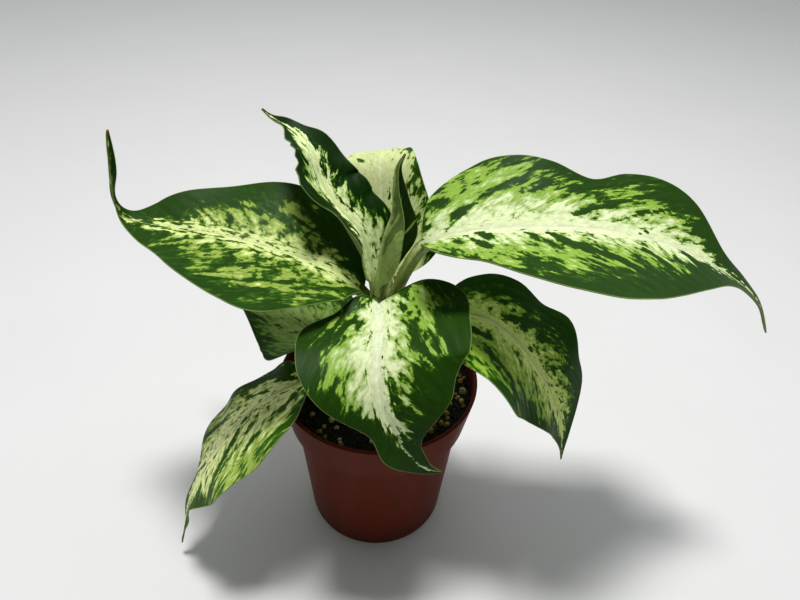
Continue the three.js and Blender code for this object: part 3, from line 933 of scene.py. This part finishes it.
@dataclass
class Stem:
    """Short upright stem with swollen rings where the leaves clasp it."""

    # height and radius, from the buried end to the growing tip
    outline: list[tuple[float, float]] = field(
        default_factory=lambda: [
            (56, 4.5), (62, 6.2), (92, 7), (99, 6.9), (101, 7.2), (104, 6.6), (113, 6.2), (116, 6.5),
            (119, 5.8), (132, 4.9), (134, 5.1), (136.5, 4.6), (146, 3.7), (151, 3.3), (152, 2.6),
        ]
    )
    thinner: float = 0.2  # mm that the skin lies inside the solid, so that its bumps stay within
    lumps: float = 0.12  # mm, height of the uneven bumps round the stem
    ripples: float = 0.064  # mm, height of the finer ones up the stem
    sides: int = 48
    rings: int = 160

    def build(self, finish: StemFinish) -> Object:
        """Turn the outline, with a slight unevenness round each ring.

        Args:
            finish: the stem's skin.

        Returns:
            The stem.
        """
        heights, radii = zip(*self.outline)
        levels = np.linspace(heights[0], heights[-1], self.rings)
        turns = np.linspace(0, 2 * math.pi, self.sides, endpoint=False)
        points = [(0.0, 0.0, heights[0])]
        for level in levels:
            radius = float(np.interp(level, heights, radii)) - self.thinner
            for t in turns:
                bump = self.lumps * math.sin(3 * t + level * 0.2) + self.ripples * math.sin(level * 1.9)
                points.append(((radius + bump) * math.cos(t), (radius + bump) * math.sin(t), level))
        points.append((0.0, 0.0, heights[-1]))
        faces = ring_faces(self.rings, self.sides)
        stem = new_object("plant_stem", np.array(points), faces, finish.material())
        dress(stem, "stem_tissue", "stem")
        return stem


# ---------- leaves ----------


class Side(Enum):
    """The two halves of a blade, with the sign of their distance from the rib."""

    LEFT = 1
    RIGHT = -1


class Tint(Enum):
    """What the middle of a blotch adds to the blade's pale level."""

    DARK = -2.0
    PALE = 1.4


# A patch of the blade that is darker or paler than the tissue round it: share of the blade's length from its
# base, share of the half width (positive on the left), and millimetres along and across the side veins
Blotch = tuple[float, float, float, float]


@dataclass(frozen=True)
class Heart:
    """The pale middle of one half of a blade."""

    reach: list[float]  # share of the half width that is pale, at equal steps along the blade
    fade: float = 0.38  # share of the half width over which it gives way to green
    deepening: float = 1.4  # how much sooner green deepens outside it than it pales inside
    deepest: float = -3.0
    solid: float = 1.1  # lower for more dark patches inside it
    lean: float = 1.0  # mm that a side vein runs forwards for each mm outwards


@dataclass(frozen=True)
class Nick:
    """A torn notch in a margin."""

    side: Side
    blade: float  # share of the blade's length from its base
    depth: float
    width: float  # half of it


@dataclass
class Leaf:
    """One leaf: a sheath round the stem, a channelled stalk, a blade and its drip tip, as one closed body."""

    name: str
    clasp: float  # mm, half width of the sheath
    direction: float  # degrees from +X in which the leaf leaves the stem
    stalk: float  # mm, length of the stalk with the sheath
    spine: list[tuple[float, float, float]]
    left: list[float]  # half widths at equal steps along the blade
    right: list[float]
    fold: list[float]  # degrees that each half rises from the rib
    turn: list[float]  # degrees that the blade is turned about its rib
    lobe: float  # mm that the lobes reach back
    wave: tuple[float, float, float]  # height, number and phase of the margin's waves
    finish: BladeFinish
    hearts: dict[Side, Heart]
    dark: list[Blotch] = field(default_factory=list)
    pale: list[Blotch] = field(default_factory=list)
    nicks: list[Nick] = field(default_factory=list)
    sheath_length: float = 9
    sheath_leaves: tuple[float, float] = (0.7, 1.6)  # shares of its length between which it lets go
    stalk_half_width: float = 2.7
    stalk_channel: float = 34  # degrees that each half of the stalk rises
    unfold_end: float = 0.16  # share of the blade over which the stalk opens into it
    broad: float = 20  # mm past the stalk's half width at which lobe and quilting are in full
    sheath_thickness: float = 1.1
    stalk_thickness: float = 1.5
    blade_thickness: float = 0.8
    margin_thickness: float = 0.45
    margin_width: float = 3
    stalk_rib: float = 2.1
    rib_half_width: float = 2
    tip_rib: float = 0.25
    groove: float = 0.35  # mm, depth of the channel over the rib
    quilt: float = 0.15  # mm, rise of the tissue between side veins
    quilt_start: tuple[float, float] = (2, 9)  # mm from the rib over which the quilting comes up
    quilt_end: float = 6  # mm from the margin at which it starts to fade
    vein_spacing: float = 11.0
    vein_curve: float = 90  # mm from the rib where a vein is twice as far forwards as a straight one
    vein_swing: float = 250  # mm along the blade over which the veins come to lean twice as much
    stations: int = 190
    stalk_share: float = 0.25  # share of the stations that are on the stalk
    crowding: float = 1.25  # above 1, stations are closer where the blade begins
    rib_stops: int = 5
    blade_stops: int = 30

    def _at(self, steps: np.ndarray) -> np.ndarray:
        """Give the spine's points at shares of its list."""
        return np.stack([along(column, steps) for column in zip(*self.spine)], axis=1)

    def _spine_frames(self) -> dict[str, np.ndarray | float]:
        """Walk the spine, carrying the upward direction along it without twisting.

        Returns:
            Distance, point, forward, left and up at each station, and the whole length.
        """
        steps = np.linspace(0, 1, 401)
        lengths = np.concatenate([[0], np.cumsum(np.linalg.norm(np.diff(self._at(steps), axis=0), axis=1))])
        length = float(lengths[-1])
        share = np.linspace(0, 1, self.stations)
        beyond = np.clip((share - self.stalk_share) / (1 - self.stalk_share), 0, 1) ** self.crowding
        on_stalk = self.stalk * share / self.stalk_share
        on_blade = self.stalk + (length - self.stalk) * beyond
        distance = np.where(share < self.stalk_share, on_stalk, on_blade)
        place = np.interp(distance, lengths, steps)
        forward = self._at(np.clip(place + 1e-4, 0, 1)) - self._at(np.clip(place - 1e-4, 0, 1))
        forward /= np.linalg.norm(forward, axis=1, keepdims=True)
        angle = math.radians(self.direction)
        up = np.array([-math.cos(angle), -math.sin(angle), 0.0])
        ups = []
        for heading in forward:
            up = up - heading * up.dot(heading)
            up = up / np.linalg.norm(up)
            ups.append(up)
        return {
            "distance": distance, "length": length, "point": self._at(place), "forward": forward,
            "left": np.cross(ups, forward), "up": np.array(ups),
        }

    def _vein(self, ahead: np.ndarray | float, out: np.ndarray | float, lean: float) -> np.ndarray | float:
        """Give the place on the rib, in millimetres from the blade's base, where a point's side vein starts.

        Args:
            ahead: distance along the rib from the blade's base.
            out: distance from the rib.
            lean: millimetres that the vein runs forwards for each millimetre outwards.

        Returns:
            The vein's starting distance, which is the same all along one side vein.
        """
        swing = 1 + np.clip(ahead, 0, None) / self.vein_swing
        return ahead - lean * (out + out**2 / self.vein_curve) * swing

    def _widths(self, side: Side, blade: np.ndarray, clasp: np.ndarray, blade_length: float) -> np.ndarray:
        """Give the half width at each station, less the torn notches.

        Args:
            side: the half.
            blade: share of the blade's length at each station, below 0 on the stalk.
            clasp: how much each station clasps the stem, from 0 to 1.
            blade_length: length of the blade.

        Returns:
            The half widths.
        """
        widths = self.left if side is Side.LEFT else self.right
        width = np.where(blade > 0, along(widths, np.clip(blade, 0, 1)), mix(widths[0], self.clasp, clasp))
        for nick in self.nicks:
            if nick.side is side:
                off = np.abs(blade - nick.blade) * blade_length / nick.width
                width = width - nick.depth * np.clip(1 - off, 0, 1) ** 0.7
        return width

    def _pale_level(
        self, side: Side, blade: np.ndarray, width: np.ndarray, reach: np.ndarray, blade_length: float
    ) -> np.ndarray:
        """Work out how pale the tissue is, from the half's heart and its blotches.

        Args:
            side: the half.
            blade: share of the blade's length at each station, below 0 on the stalk.
            width: half width at each station.
            reach: distance from the rib, at each station and stop.
            blade_length: length of the blade.

        Returns:
            The level at each station and stop, below 0 where the tissue is green.
        """
        heart = self.hearts[side]
        inside = (along(heart.reach, np.clip(blade, 0, 1)) - reach / width) / heart.fade
        level = np.clip(np.where(inside < 0, inside * heart.deepening, inside), heart.deepest, heart.solid)
        vein = self._vein(blade * blade_length, reach, heart.lean)
        for tint, blotches in ((Tint.DARK, self.dark), (Tint.PALE, self.pale)):
            for ahead, across, length, breadth in blotches:
                if across * side.value < 0:
                    continue
                aside = abs(across) * float(np.interp(ahead, blade[:, 0], width[:, 0]))
                off = (vein - self._vein(ahead * blade_length, aside, heart.lean)) / breadth * 2
                far_off = (reach - aside) / length * 2
                level = level + tint.value * np.exp(-((off**2 + far_off**2) ** 1.5))
        return level

    def _half(self, side: Side, frames: dict) -> dict[str, np.ndarray]:
        """Lay out one half of the leaf.

        Args:
            side: the half.
            frames: the spine's stations.

        Returns:
            Top and bottom points, and the attributes that the finish reads, as stations by stops.
        """
        sign, lean = side.value, self.hearts[side].lean
        distance, blade_length = frames["distance"][:, None], frames["length"] - self.stalk
        blade = (distance - self.stalk) / blade_length
        on_blade, unfold = np.clip(blade, 0, 1), smooth(blade, 0, self.unfold_end)
        clasp = np.zeros_like(distance)
        if self.clasp:
            clasp = 1 - smooth(distance, *(self.sheath_length * share for share in self.sheath_leaves))
        width = self._widths(side, blade, clasp, blade_length)

        opened = np.maximum(unfold, 0 if self.clasp else 1)
        slope = np.radians(mix(self.stalk_channel * (1 - clasp), along(self.fold, on_blade), opened))
        bend = np.maximum(clasp * width / math.hypot(*self.spine[0][:2]), 1e-6)
        thickness = mix(mix(self.stalk_thickness, self.sheath_thickness, clasp), self.blade_thickness, unfold)
        rib = mix(self.stalk_rib * (1 - clasp), self.tip_rib, on_blade**0.6)
        first = np.minimum(self.rib_half_width * (1 - 0.6 * on_blade), width * 0.6) / width
        turn = np.radians(along(self.turn, on_blade)) * unfold
        up = frames["up"] * np.cos(turn) + frames["left"] * np.sin(turn)
        out = sign * (frames["left"] * np.cos(turn) - frames["up"] * np.sin(turn))
        wave_height, waves, phase = self.wave
        swell = np.sqrt(np.clip(np.sin(math.pi * on_blade), 0, 1))
        wave = wave_height * swell * np.sin(2 * math.pi * (waves * on_blade + phase) + sign)
        breadth = np.clip((width - self.stalk_half_width) / self.broad, 0, 1)

        near = np.linspace(0, 1, self.rib_stops, endpoint=False) * first
        far = first + (1 - first) * np.sin(np.linspace(0, 1, self.blade_stops) * math.pi / 2)
        stop = np.concatenate([near, far], axis=1)
        reach = stop * width
        from_margin = width - reach
        angle = slope + bend * stop
        across = width * (np.sin(angle) - np.sin(slope)) / bend
        rise = width * (np.cos(slope) - np.cos(angle)) / bend
        back = self.lobe * stop**2 * (1 - on_blade) ** 4 * breadth
        over_rib = np.clip(1 - stop / first, 0, 1)
        vein = self._vein(distance - self.stalk, reach, lean)
        open_blade = (
            breadth * swell * smooth(reach, *self.quilt_start) * smooth(from_margin, 0, self.quilt_end)
        )
        quilt = -self.quilt * np.cos(2 * math.pi * vein / self.vein_spacing) * open_blade
        groove = self.groove * over_rib**2 * (1 - 0.8 * on_blade)
        height = rise + wave * stop**2 + quilt - groove
        top = (
            frames["point"][:, None] + out[:, None] * across[:, :, None] + up[:, None] * height[:, :, None]
            - frames["forward"][:, None] * back[:, :, None]
        )
        near_margin = (1 - smooth(from_margin, 0, self.margin_width)) * unfold
        thin = mix(1, self.margin_thickness / self.blade_thickness, near_margin)
        depth = thickness * thin + rib * np.sin(over_rib * math.pi / 2) ** 1.3 - groove
        bottom = (
            top - up[:, None] * (depth * np.cos(angle))[:, :, None]
            + out[:, None] * (depth * np.sin(angle) * np.clip(stop / first, 0, 1))[:, :, None]
        )
        spread = math.hypot(1, lean)
        return {
            "top": top, "bottom": bottom, "vein": vein / spread, "run": reach * spread + lean * vein / spread,
            "across": sign * reach, "heart": self._pale_level(side, blade, width, reach, blade_length),
            "blade": np.broadcast_to(blade, reach.shape), "rim": from_margin,
        }

    def build(self) -> Object:
        """Loft both halves into one closed body and write the attributes that the finish reads.

        Returns:
            The leaf.
        """
        frames = self._spine_frames()
        halves = {side: self._half(side, frames) for side in Side}
        joined = {
            key: np.concatenate([halves[Side.LEFT][key][:, :0:-1], halves[Side.RIGHT][key]], axis=1)
            for key in halves[Side.LEFT]
        }
        rows, columns = joined["rim"].shape
        below = rows * columns
        points = np.concatenate([joined["top"].reshape(-1, 3), joined["bottom"].reshape(-1, 3)])
        faces = []
        for i in range(rows - 1):
            for j in range(columns - 1):
                a = i * columns + j
                b, c, d = a + 1, a + 1 + columns, a + columns
                faces.append((a, b, c, d))
                faces.append((below + a, below + d, below + c, below + b))
            first, last = i * columns, (i + 1) * columns - 1
            faces.append((first, first + columns, below + first + columns, below + first))
            faces.append((last, below + last, below + last + columns, last + columns))
        for j in range(columns - 1):
            end = (rows - 1) * columns + j
            faces.append((j, below + j, below + j + 1, j + 1))
            faces.append((end, end + 1, below + end + 1, below + end))
        leaf = new_object(self.name + "_blade", points, faces, self.finish.material(self.name))
        values = {key: np.tile(joined[key].ravel(), 2) for key in joined if key not in ("top", "bottom")}
        values["under"] = np.repeat([0.0, 1.0], below)
        for key, column in values.items():
            attribute = leaf.data.attributes.new(key, "FLOAT", "POINT")
            attribute.data.foreach_set("value", column.astype(np.float32))
        dress(leaf, self.name + "_blade", self.name)
        return leaf


LEAVES = [
    Leaf(
        name="leaf_right", clasp=3.4, direction=-3, stalk=50,
        spine=[
            (5.1, -0.3, 136), (5.1, -0.3, 143), (7, -0.5, 153), (12, -0.7, 168), (19, -1, 181), (31, -2, 189),
            (52, -4, 195), (90, -6, 198), (123, -8, 193), (153, -10, 180), (171, -11, 166), (180.5, -12, 150),
        ],
        left=[4.4, 27, 38.5, 40, 36.5, 30, 37.5, 38, 30, 12, 8, 5, 0.6],
        right=[4, 23, 26, 37, 47, 51, 45, 34.5, 23, 12, 9, 6, 0.6],
        fold=[16, 10, 8], turn=[-4, -8, -8, -12], lobe=10, wave=(2, 2.5, 0.42),
        finish=BladeFinish(
            seed=3.0, cream="#cfdaa8", rib="#d3dab4", patch=(8.0, 12.0), blot=(3.4, 5.4), white_reach=20.0,
        ),
        hearts={
            Side.LEFT: Heart([0.8, 0.9, 0.78, 0.6, 0.62, 0.45, 0.05, 0, 0], lean=0.9),
            Side.RIGHT: Heart([0.9, 0.9, 0.7, 0.5, 0.38, 0.3, 0.03, 0, 0], solid=0.8, lean=0.6),
        },
        dark=[
            (0.13, 0.42, 24, 6), (0.29, 0.55, 12, 4), (0.44, 0.47, 20, 7), (0.53, 0.36, 18, 3.5),
            (0.37, 0.22, 5, 4), (0.53, 0.08, 8, 2.5), (0.15, -0.2, 12, 5), (0.15, -0.5, 11, 6),
            (0.285, -0.28, 14, 6), (0.34, -0.27, 14, 8), (0.42, -0.4, 12, 8), (0.55, -0.4, 14, 4),
            (0.64, -0.15, 12, 6),
        ],
        pale=[(0.62, 0.45, 14, 4)],
    ),
    Leaf(
        name="leaf_left", clasp=3.4, direction=175, stalk=19,
        spine=[
            (-5.1, 0.4, 136), (-5.1, 0.4, 143), (-7.6, 0.6, 151), (-19, 1.5, 162), (-31, 2, 168),
            (-60, 5, 176), (-90, 8, 180), (-108, 9, 181), (-118, 10, 184), (-121, 10, 193), (-119, 10, 206),
            (-116, 11, 225),
        ],
        left=[3, 27, 44.5, 42, 33.5, 18, 3, 1.5, 0.6],
        right=[4, 27, 36.5, 36, 27, 16.5, 3.5, 3, 0.6],
        fold=[14, 12, 10], turn=[4, 10, 8, 0], lobe=8, wave=(1.5, 3, 0.6),
        finish=BladeFinish(
            seed=11.0, cream="#ccd98d", lime="#869d40", mid="#577722", dark="#1f3f06", halo=2.2,
            rib_width=1.0, rib_end=0.75, white_reach=14.0, patch=(10.0, 11.0), blot=(4.6, 4.2),
            fleck=(2.2, 2.0), softness=1.4,
        ),
        hearts={
            Side.LEFT: Heart([0.4, 0.36, 0.3, 0.25, 0.18, 0.04, 0, 0, 0], fade=0.8, solid=0.35),
            Side.RIGHT: Heart([0.25, 0.3, 0.38, 0.36, 0.25, 0.04, 0, 0, 0], fade=0.45, solid=0.45),
        },
        dark=[(0.14, -0.6, 12, 9)],
        pale=[
            (0.37, 0.66, 10, 7), (0.2, 0.68, 8, 5), (0.28, 0.62, 9, 5), (0.08, 0.6, 8, 4), (0.5, 0.25, 12, 7),
            (0.27, -0.62, 10, 7),
        ],
    ),
    Leaf(
        name="leaf_upper_left", clasp=4, direction=140, stalk=13,
        spine=[
            (-3, 2.5, 149.5), (-3, 2.5, 156), (-5, 5, 166), (-10, 9, 181), (-19, 14, 189), (-28, 21, 198),
            (-33, 29, 210), (-42, 37, 217), (-54, 43, 221), (-58, 44, 224),
        ],
        left=[9, 9, 8.5, 10, 19, 16, 12.5, 3, 0.6],
        right=[5, 14, 17, 18, 18, 13, 7.5, 3, 0.6],
        fold=[35, 30, 20], turn=[0, 0, 0], lobe=0, wave=(1, 6, 0.1),
        finish=BladeFinish(
            seed=19.0, dark="#0f2a04", green="#1c3e0c", mid="#3a6218", cream="#d8e4a8", halo=2.4,
            rib_width=1.5, white_reach=16.0, blot=(3.4, 4.6), softness=1.2,
        ),
        hearts={
            Side.LEFT: Heart([1.4, 1.0, 0.4, 0.3, 0.4, 0.55, 0.4, 0.15, 0], solid=0.8, lean=1.4),
            Side.RIGHT: Heart([1.4, 0.8, 0.5, 0.38, 0.3, 0.2, 0.1, 0.04, 0], solid=0.7, lean=1.4),
        },
        nicks=[
            Nick(Side.LEFT, 0.55, 1.6, 3), Nick(Side.LEFT, 0.61, 2.6, 2.6), Nick(Side.LEFT, 0.67, 1.8, 2),
            Nick(Side.LEFT, 0.72, 2.4, 2.4),
        ],
    ),
    Leaf(
        name="leaf_back", clasp=3.4, direction=90, stalk=20,
        spine=[
            (0, 5.1, 136), (0, 5.2, 143), (0, 8.8, 151), (0, 16, 168), (-1, 26, 188), (-2, 36, 203),
            (-2, 49, 204), (-3, 66, 192), (-3, 80, 174), (-3, 90, 152),
        ],
        left=[4.4, 13, 21, 20, 14, 13, 12, 6, 0.6],
        right=[6, 27, 24, 18.5, 13.5, 15, 14, 8, 0.6],
        fold=[14, 2, -4], turn=[0, 6, 8, 4], lobe=4, wave=(1, 3, 0.3),
        finish=BladeFinish(
            seed=27.0, lime="#93ad52", cream="#c1cb8f", creaminess=0.6, white_reach=50.0, blot=(3.2, 3.8)
        ),
        hearts={
            Side.LEFT: Heart([1.5, 1.5, 1.6, 1.6, 1.5, 0.8, 0.4, 0.1, 0], lean=1.2),
            Side.RIGHT: Heart([1.2, 0.9, 0.8, 0.75, 0.8, 0.6, 0.3, 0.1, 0], solid=0.7, lean=1.2),
        },
        dark=[(0.12, 0.3, 16, 8)],
    ),
    Leaf(
        name="leaf_spear", clasp=0, direction=159, stalk=6,
        spine=[
            (-1.4, 0.4, 152.4), (-1, 0.6, 158), (0, 1, 170), (2, 2, 185), (5, 3, 196), (5, 4, 208),
            (6, 5, 217), (9, 5, 223),
        ],
        left=[3, 9, 12, 13, 11, 7, 4, 2, 0.6],
        right=[2.4, 7, 11, 14, 13.5, 8, 5.5, 2.5, 0.6],
        fold=[58, 58, 58], turn=[0, 0, 0], lobe=0, wave=(0, 1, 0),
        # its greens, lime and cream are darker than the other leaves': painted shade from the leaves over it
        finish=BladeFinish(
            seed=35.0, green="#2c480d", mid="#4a6124", lime="#74873f", cream="#9db066", white_reach=40.0
        ),
        hearts={
            Side.LEFT: Heart([1.2, 1.2, 1.0, 0.4, 0], lean=2.0),
            Side.RIGHT: Heart([0.5, 0.2, 0.1, 0], lean=2.0),
        },
        dark=[(0.38, 0.3, 10, 6), (0.52, 0.5, 14, 7), (0.66, 0.5, 16, 12)],
        pale=[(0.25, -0.3, 16, 4), (0.42, -0.55, 14, 4)],
    ),
    Leaf(
        name="leaf_front", clasp=3.4, direction=270, stalk=15.3,
        spine=[
            (0, -5, 138), (0, -5, 145), (0, -7.6, 153), (0, -14, 157), (1, -26, 157), (1, -38, 155),
            (1, -48, 151), (3, -56, 144), (6, -61, 135), (11, -64, 125), (17, -65, 115), (24, -64, 106),
            (32, -62, 101),
        ],
        left=[3, 36, 40, 39, 32, 26.5, 9.5, 4.5, 0.6],
        right=[3, 17, 33, 34, 25.5, 10.5, 10, 5, 0.6],
        fold=[5, 10, 8], turn=[-16, -4, 0], lobe=7.5, wave=(1, 3, 0.1),
        finish=BladeFinish(
            seed=43.0, cream="#cfdaa8", rib="#d8dfbd", rib_width=2.6, rib_end=0.65, halo=4.0,
            white_reach=18.0,
        ),
        hearts={
            Side.LEFT: Heart([0.7, 0.6, 0.47, 0.45, 0.22, 0.13, 0.06, 0, 0]),
            Side.RIGHT: Heart([0.6, 0.6, 0.42, 0.5, 0.55, 0.05, 0, 0, 0]),
        },
        dark=[(0.13, 0.3, 8, 3), (0.3, 0.45, 8, 6), (0.22, -0.5, 9, 4)],
        pale=[(0.25, -0.72, 18, 3.5), (0.38, 0.55, 6, 4), (0.62, 0.1, 8, 5)],
    ),
    Leaf(
        name="leaf_lower_right", clasp=4, direction=-10, stalk=46,
        spine=[
            (6.8, -1.2, 107), (6.8, -1.2, 114), (11, -2, 125), (21, -4, 139), (33, -6, 147), (49, -9, 149),
            (65, -12, 139), (78, -14, 123), (90, -16, 102), (97, -17, 83), (102, -18, 58),
        ],
        left=[3, 24, 30.5, 32, 38.5, 31, 29, 9, 0.6],
        right=[3, 31.5, 36, 39, 30, 22, 13, 4.5, 0.6],
        fold=[6, 6, 6], turn=[0, -10, -20, -20], lobe=6, wave=(1.5, 3, 0.4),
        # its greens are a little lighter than the other leaves': painted light on a leaf that lies in the
        # shade of leaf_right
        finish=BladeFinish(
            seed=51.0, dark="#204505", green="#345e10", mid="#548322", lime="#8aac38", cream="#d2e480",
            rib_width=1.6, white_reach=18.0, patch=(9.0, 10.0), blot=(4.4, 4.4), fleck=(2.0, 2.0),
            softness=1.2, sheen=0.03,
        ),
        hearts={
            Side.LEFT: Heart([0.55, 0.48, 0.4, 0.28, 0.28, 0.34, 0.34, 0.08, 0], solid=0.8, lean=1.2),
            Side.RIGHT: Heart(
                [0.85, 0.8, 0.72, 0.66, 0.55, 0.52, 0.36, 0.03, 0], fade=0.45, solid=0.6, lean=1.2
            ),
        },
        dark=[(0.26, -0.6, 8, 7), (0.13, -0.3, 7, 6), (0.3, 0.35, 10, 6), (0.45, -0.7, 7, 6)],
        pale=[(0.3, 0.55, 26, 4), (0.5, 0.38, 20, 4)],
    ),
    Leaf(
        name="leaf_lower_left", clasp=3.6, direction=205, stalk=34,
        spine=[
            (-6.6, -3.1, 97), (-6.8, -3.2, 101), (-11, -5, 105.5), (-20, -9, 108), (-36, -17, 109),
            (-54, -25, 104), (-71, -33, 90), (-84, -39, 72), (-95, -45, 50), (-101, -47, 30), (-106, -49, 10),
        ],
        left=[3, 23, 36, 32, 30, 17.5, 6, 2.5, 0.6],
        right=[3, 19, 22, 28, 29, 20, 9, 3, 0.6],
        fold=[0, -4, -4], turn=[-6, -9, -9, -5], lobe=6, wave=(1.5, 4, 0.2),
        # its greens and cream are lighter than the other leaves': painted light on a leaf that lies in the
        # shade of the leaves above
        finish=BladeFinish(
            seed=59.0, dark="#2c4e10", green="#44691a", mid="#64882c", lime="#93ae48", cream="#eaf2a6",
            halo=1.5, rib_width=1.2, white_reach=30.0, patch=(8.0, 10.0), blot=(3.4, 4.2), sheen=0.04,
            softness=1.2,
        ),
        hearts={
            Side.LEFT: Heart([0.7, 0.8, 0.9, 0.9, 0.8, 0.5, 0.4, 0.2, 0], fade=0.5, solid=0.8, lean=1.3),
            Side.RIGHT: Heart([0.6, 0.6, 0.7, 0.9, 0.9, 0.6, 0.4, 0.2, 0], fade=0.5, solid=0.8, lean=1.3),
        },
        dark=[
            (0.28, 0.28, 7, 6), (0.39, 0.32, 24, 8), (0.28, 0.52, 5, 5), (0.34, 0.62, 5, 4),
            (0.43, 0.55, 7, 5), (0.12, 0.5, 14, 6), (0.17, 0.85, 14, 6), (0.64, 0.5, 12, 6),
            # the blotch at 0.16 and -0.75 is painted shadow near the base of the right half; the others are
            # the leaf's own dark patches
            (0.08, -0.3, 9, 5), (0.16, -0.75, 22, 9), (0.21, -0.35, 9, 3), (0.42, -0.55, 14, 4),
            (0.49, -0.62, 14, 4), (0.6, -0.2, 9, 4),
        ],
    ),
    Leaf(
        name="leaf_back_left", clasp=3.6, direction=150, stalk=24,
        spine=[
            (-6.2, 3.6, 105), (-6.3, 3.7, 110), (-12, 7, 113), (-24, 14, 110), (-47, 28, 107), (-70, 40, 117),
            (-90, 52, 122), (-108, 62, 120),
        ],
        left=[4, 38.5, 36, 29, 21, 12, 6, 3, 0.6],
        right=[4, 28, 33, 28, 20, 12, 6, 3, 0.6],
        fold=[15, 15, 15], turn=[0, 0, 0], lobe=6, wave=(1, 3, 0.5),
        # its lime, cream and rib are darker than the other leaves': painted shade under leaf_left
        finish=BladeFinish(
            seed=67.0, mid="#53762a", lime="#6d8a3c", cream="#8ba556", rib="#8fa35c", halo=1.0, rib_width=0.8,
            softness=1.6,
        ),
        hearts={
            Side.LEFT: Heart([0.6, 0.65, 0.65, 0.6, 0.5, 0.4, 0.2, 0, 0], fade=0.4, solid=0.7, lean=1.2),
            Side.RIGHT: Heart([0.6, 0.65, 0.65, 0.6, 0.5, 0.4, 0.2, 0, 0], fade=0.4, solid=0.7, lean=1.2),
        },
    ),
]


# ---------- studio ----------


@dataclass
class Studio:
    """Pale floor, a long soft light overhead, a pale surround and the camera."""

    floor_radius: float = 4000
    floor_sides: int = 64
    floor_colour: str = "#dcdcda"
    light_size: tuple[float, float] = (0.34, 0.22)
    light_place: tuple[float, float, float] = (0.0, 0.07, 1.5)
    lit_point: tuple[float, float, float] = (0.0, 0.0, 0.1)
    light_power: float = 19.5
    surround: str = "#e4e7ea"
    surround_strength: tuple[float, float] = (0.16, 0.8)  # in front of the plant and behind it
    camera_place: tuple[float, float, float] = (9.61, -235.35, 336.08)
    camera_turn: tuple[float, float, float] = (51.621, -1.984, 1.570)
    focal_length: float = 28.125
    sensor_width: float = 36.0

    def _floor(self) -> None:
        """Lay a matt painted floor."""
        material, tree = new_material("painted board, matt")
        shader = tree.nodes["Principled BSDF"]
        place = add(tree, "ShaderNodeTexCoord", output="Object")
        clouds = add(tree, NOISE, Vector=place, Scale=9.0, Detail=4.0)
        shade = add(tree, *EVEN, clouds, 0, 1, 0.97, 1.03)
        colour = add(tree, "ShaderNodeHueSaturation", Value=shade, Color=self.floor_colour)
        tree.links.new(colour, shader.inputs["Base Color"])
        shader.inputs["Roughness"].default_value = 0.7
        radius, turns = self.floor_radius, np.linspace(0, 2 * math.pi, self.floor_sides, endpoint=False)
        points = np.array([(radius * math.cos(t), radius * math.sin(t), 0) for t in turns])
        floor = new_object("floor", points, [tuple(range(self.floor_sides))], material)

    def _lights(self) -> None:
        """Hang the long soft light and set the surround."""
        lamp = bpy.data.lights.new("overhead strip", "AREA")
        lamp.shape = "RECTANGLE"
        lamp.size, lamp.size_y = self.light_size
        lamp.energy = self.light_power
        hung = bpy.data.objects.new("overhead strip", lamp)
        hung.location = self.light_place
        aim = Vector(self.light_place) - Vector(self.lit_point)
        hung.rotation_euler = aim.to_track_quat("Z", "Y").to_euler()
        bpy.context.scene.collection.objects.link(hung)
        world = bpy.data.worlds.new("surround")
        world.use_nodes = True
        sky = world.node_tree.nodes["Background"]
        heading = add(world.node_tree, "ShaderNodeTexCoord", output="Generated")
        away = add(world.node_tree, "ShaderNodeSeparateXYZ", Vector=heading, output=1)
        glow = add(world.node_tree, *EVEN, away, -0.5, 0.6, *self.surround_strength)
        world.node_tree.links.new(glow, sky.inputs["Strength"])
        sky.inputs["Color"].default_value = linear(self.surround)
        bpy.context.scene.world = world

    def _camera(self) -> None:
        """Stand the camera where the photograph was taken from."""
        lens = bpy.data.cameras.new("camera")
        lens.lens, lens.sensor_width = self.focal_length, self.sensor_width
        lens.clip_start = 0.01
        camera = bpy.data.objects.new("camera", lens)
        camera.location = Vector(self.camera_place) * MM
        camera.rotation_euler = [math.radians(turn) for turn in self.camera_turn]
        bpy.context.scene.collection.objects.link(camera)
        bpy.context.scene.camera = camera

    def build(self) -> None:
        """Set up the floor, the lights, the camera and a plain view of the light."""
        self._floor()
        self._lights()
        self._camera()
        bpy.context.scene.view_settings.view_transform = "Standard"


def corners(box: tuple) -> list[list[float]]:
    """Turn a box into plain lists."""
    return [list(corner) for corner in box]


def main() -> None:
    """Build the studio and every piece of the plant and its pot."""
    logging.basicConfig(level=logging.INFO, format="%(name)s: %(message)s")
    Studio().build()
    pot = Pot()
    pot.build(PolypropyleneFinish())
    PottingMix(pot).build(PeatFinish(), PerliteFinish())
    Stem().build(StemFinish())
    for leaf in LEAVES:
        leaf.build()


if __name__ == "__main__":
    main()
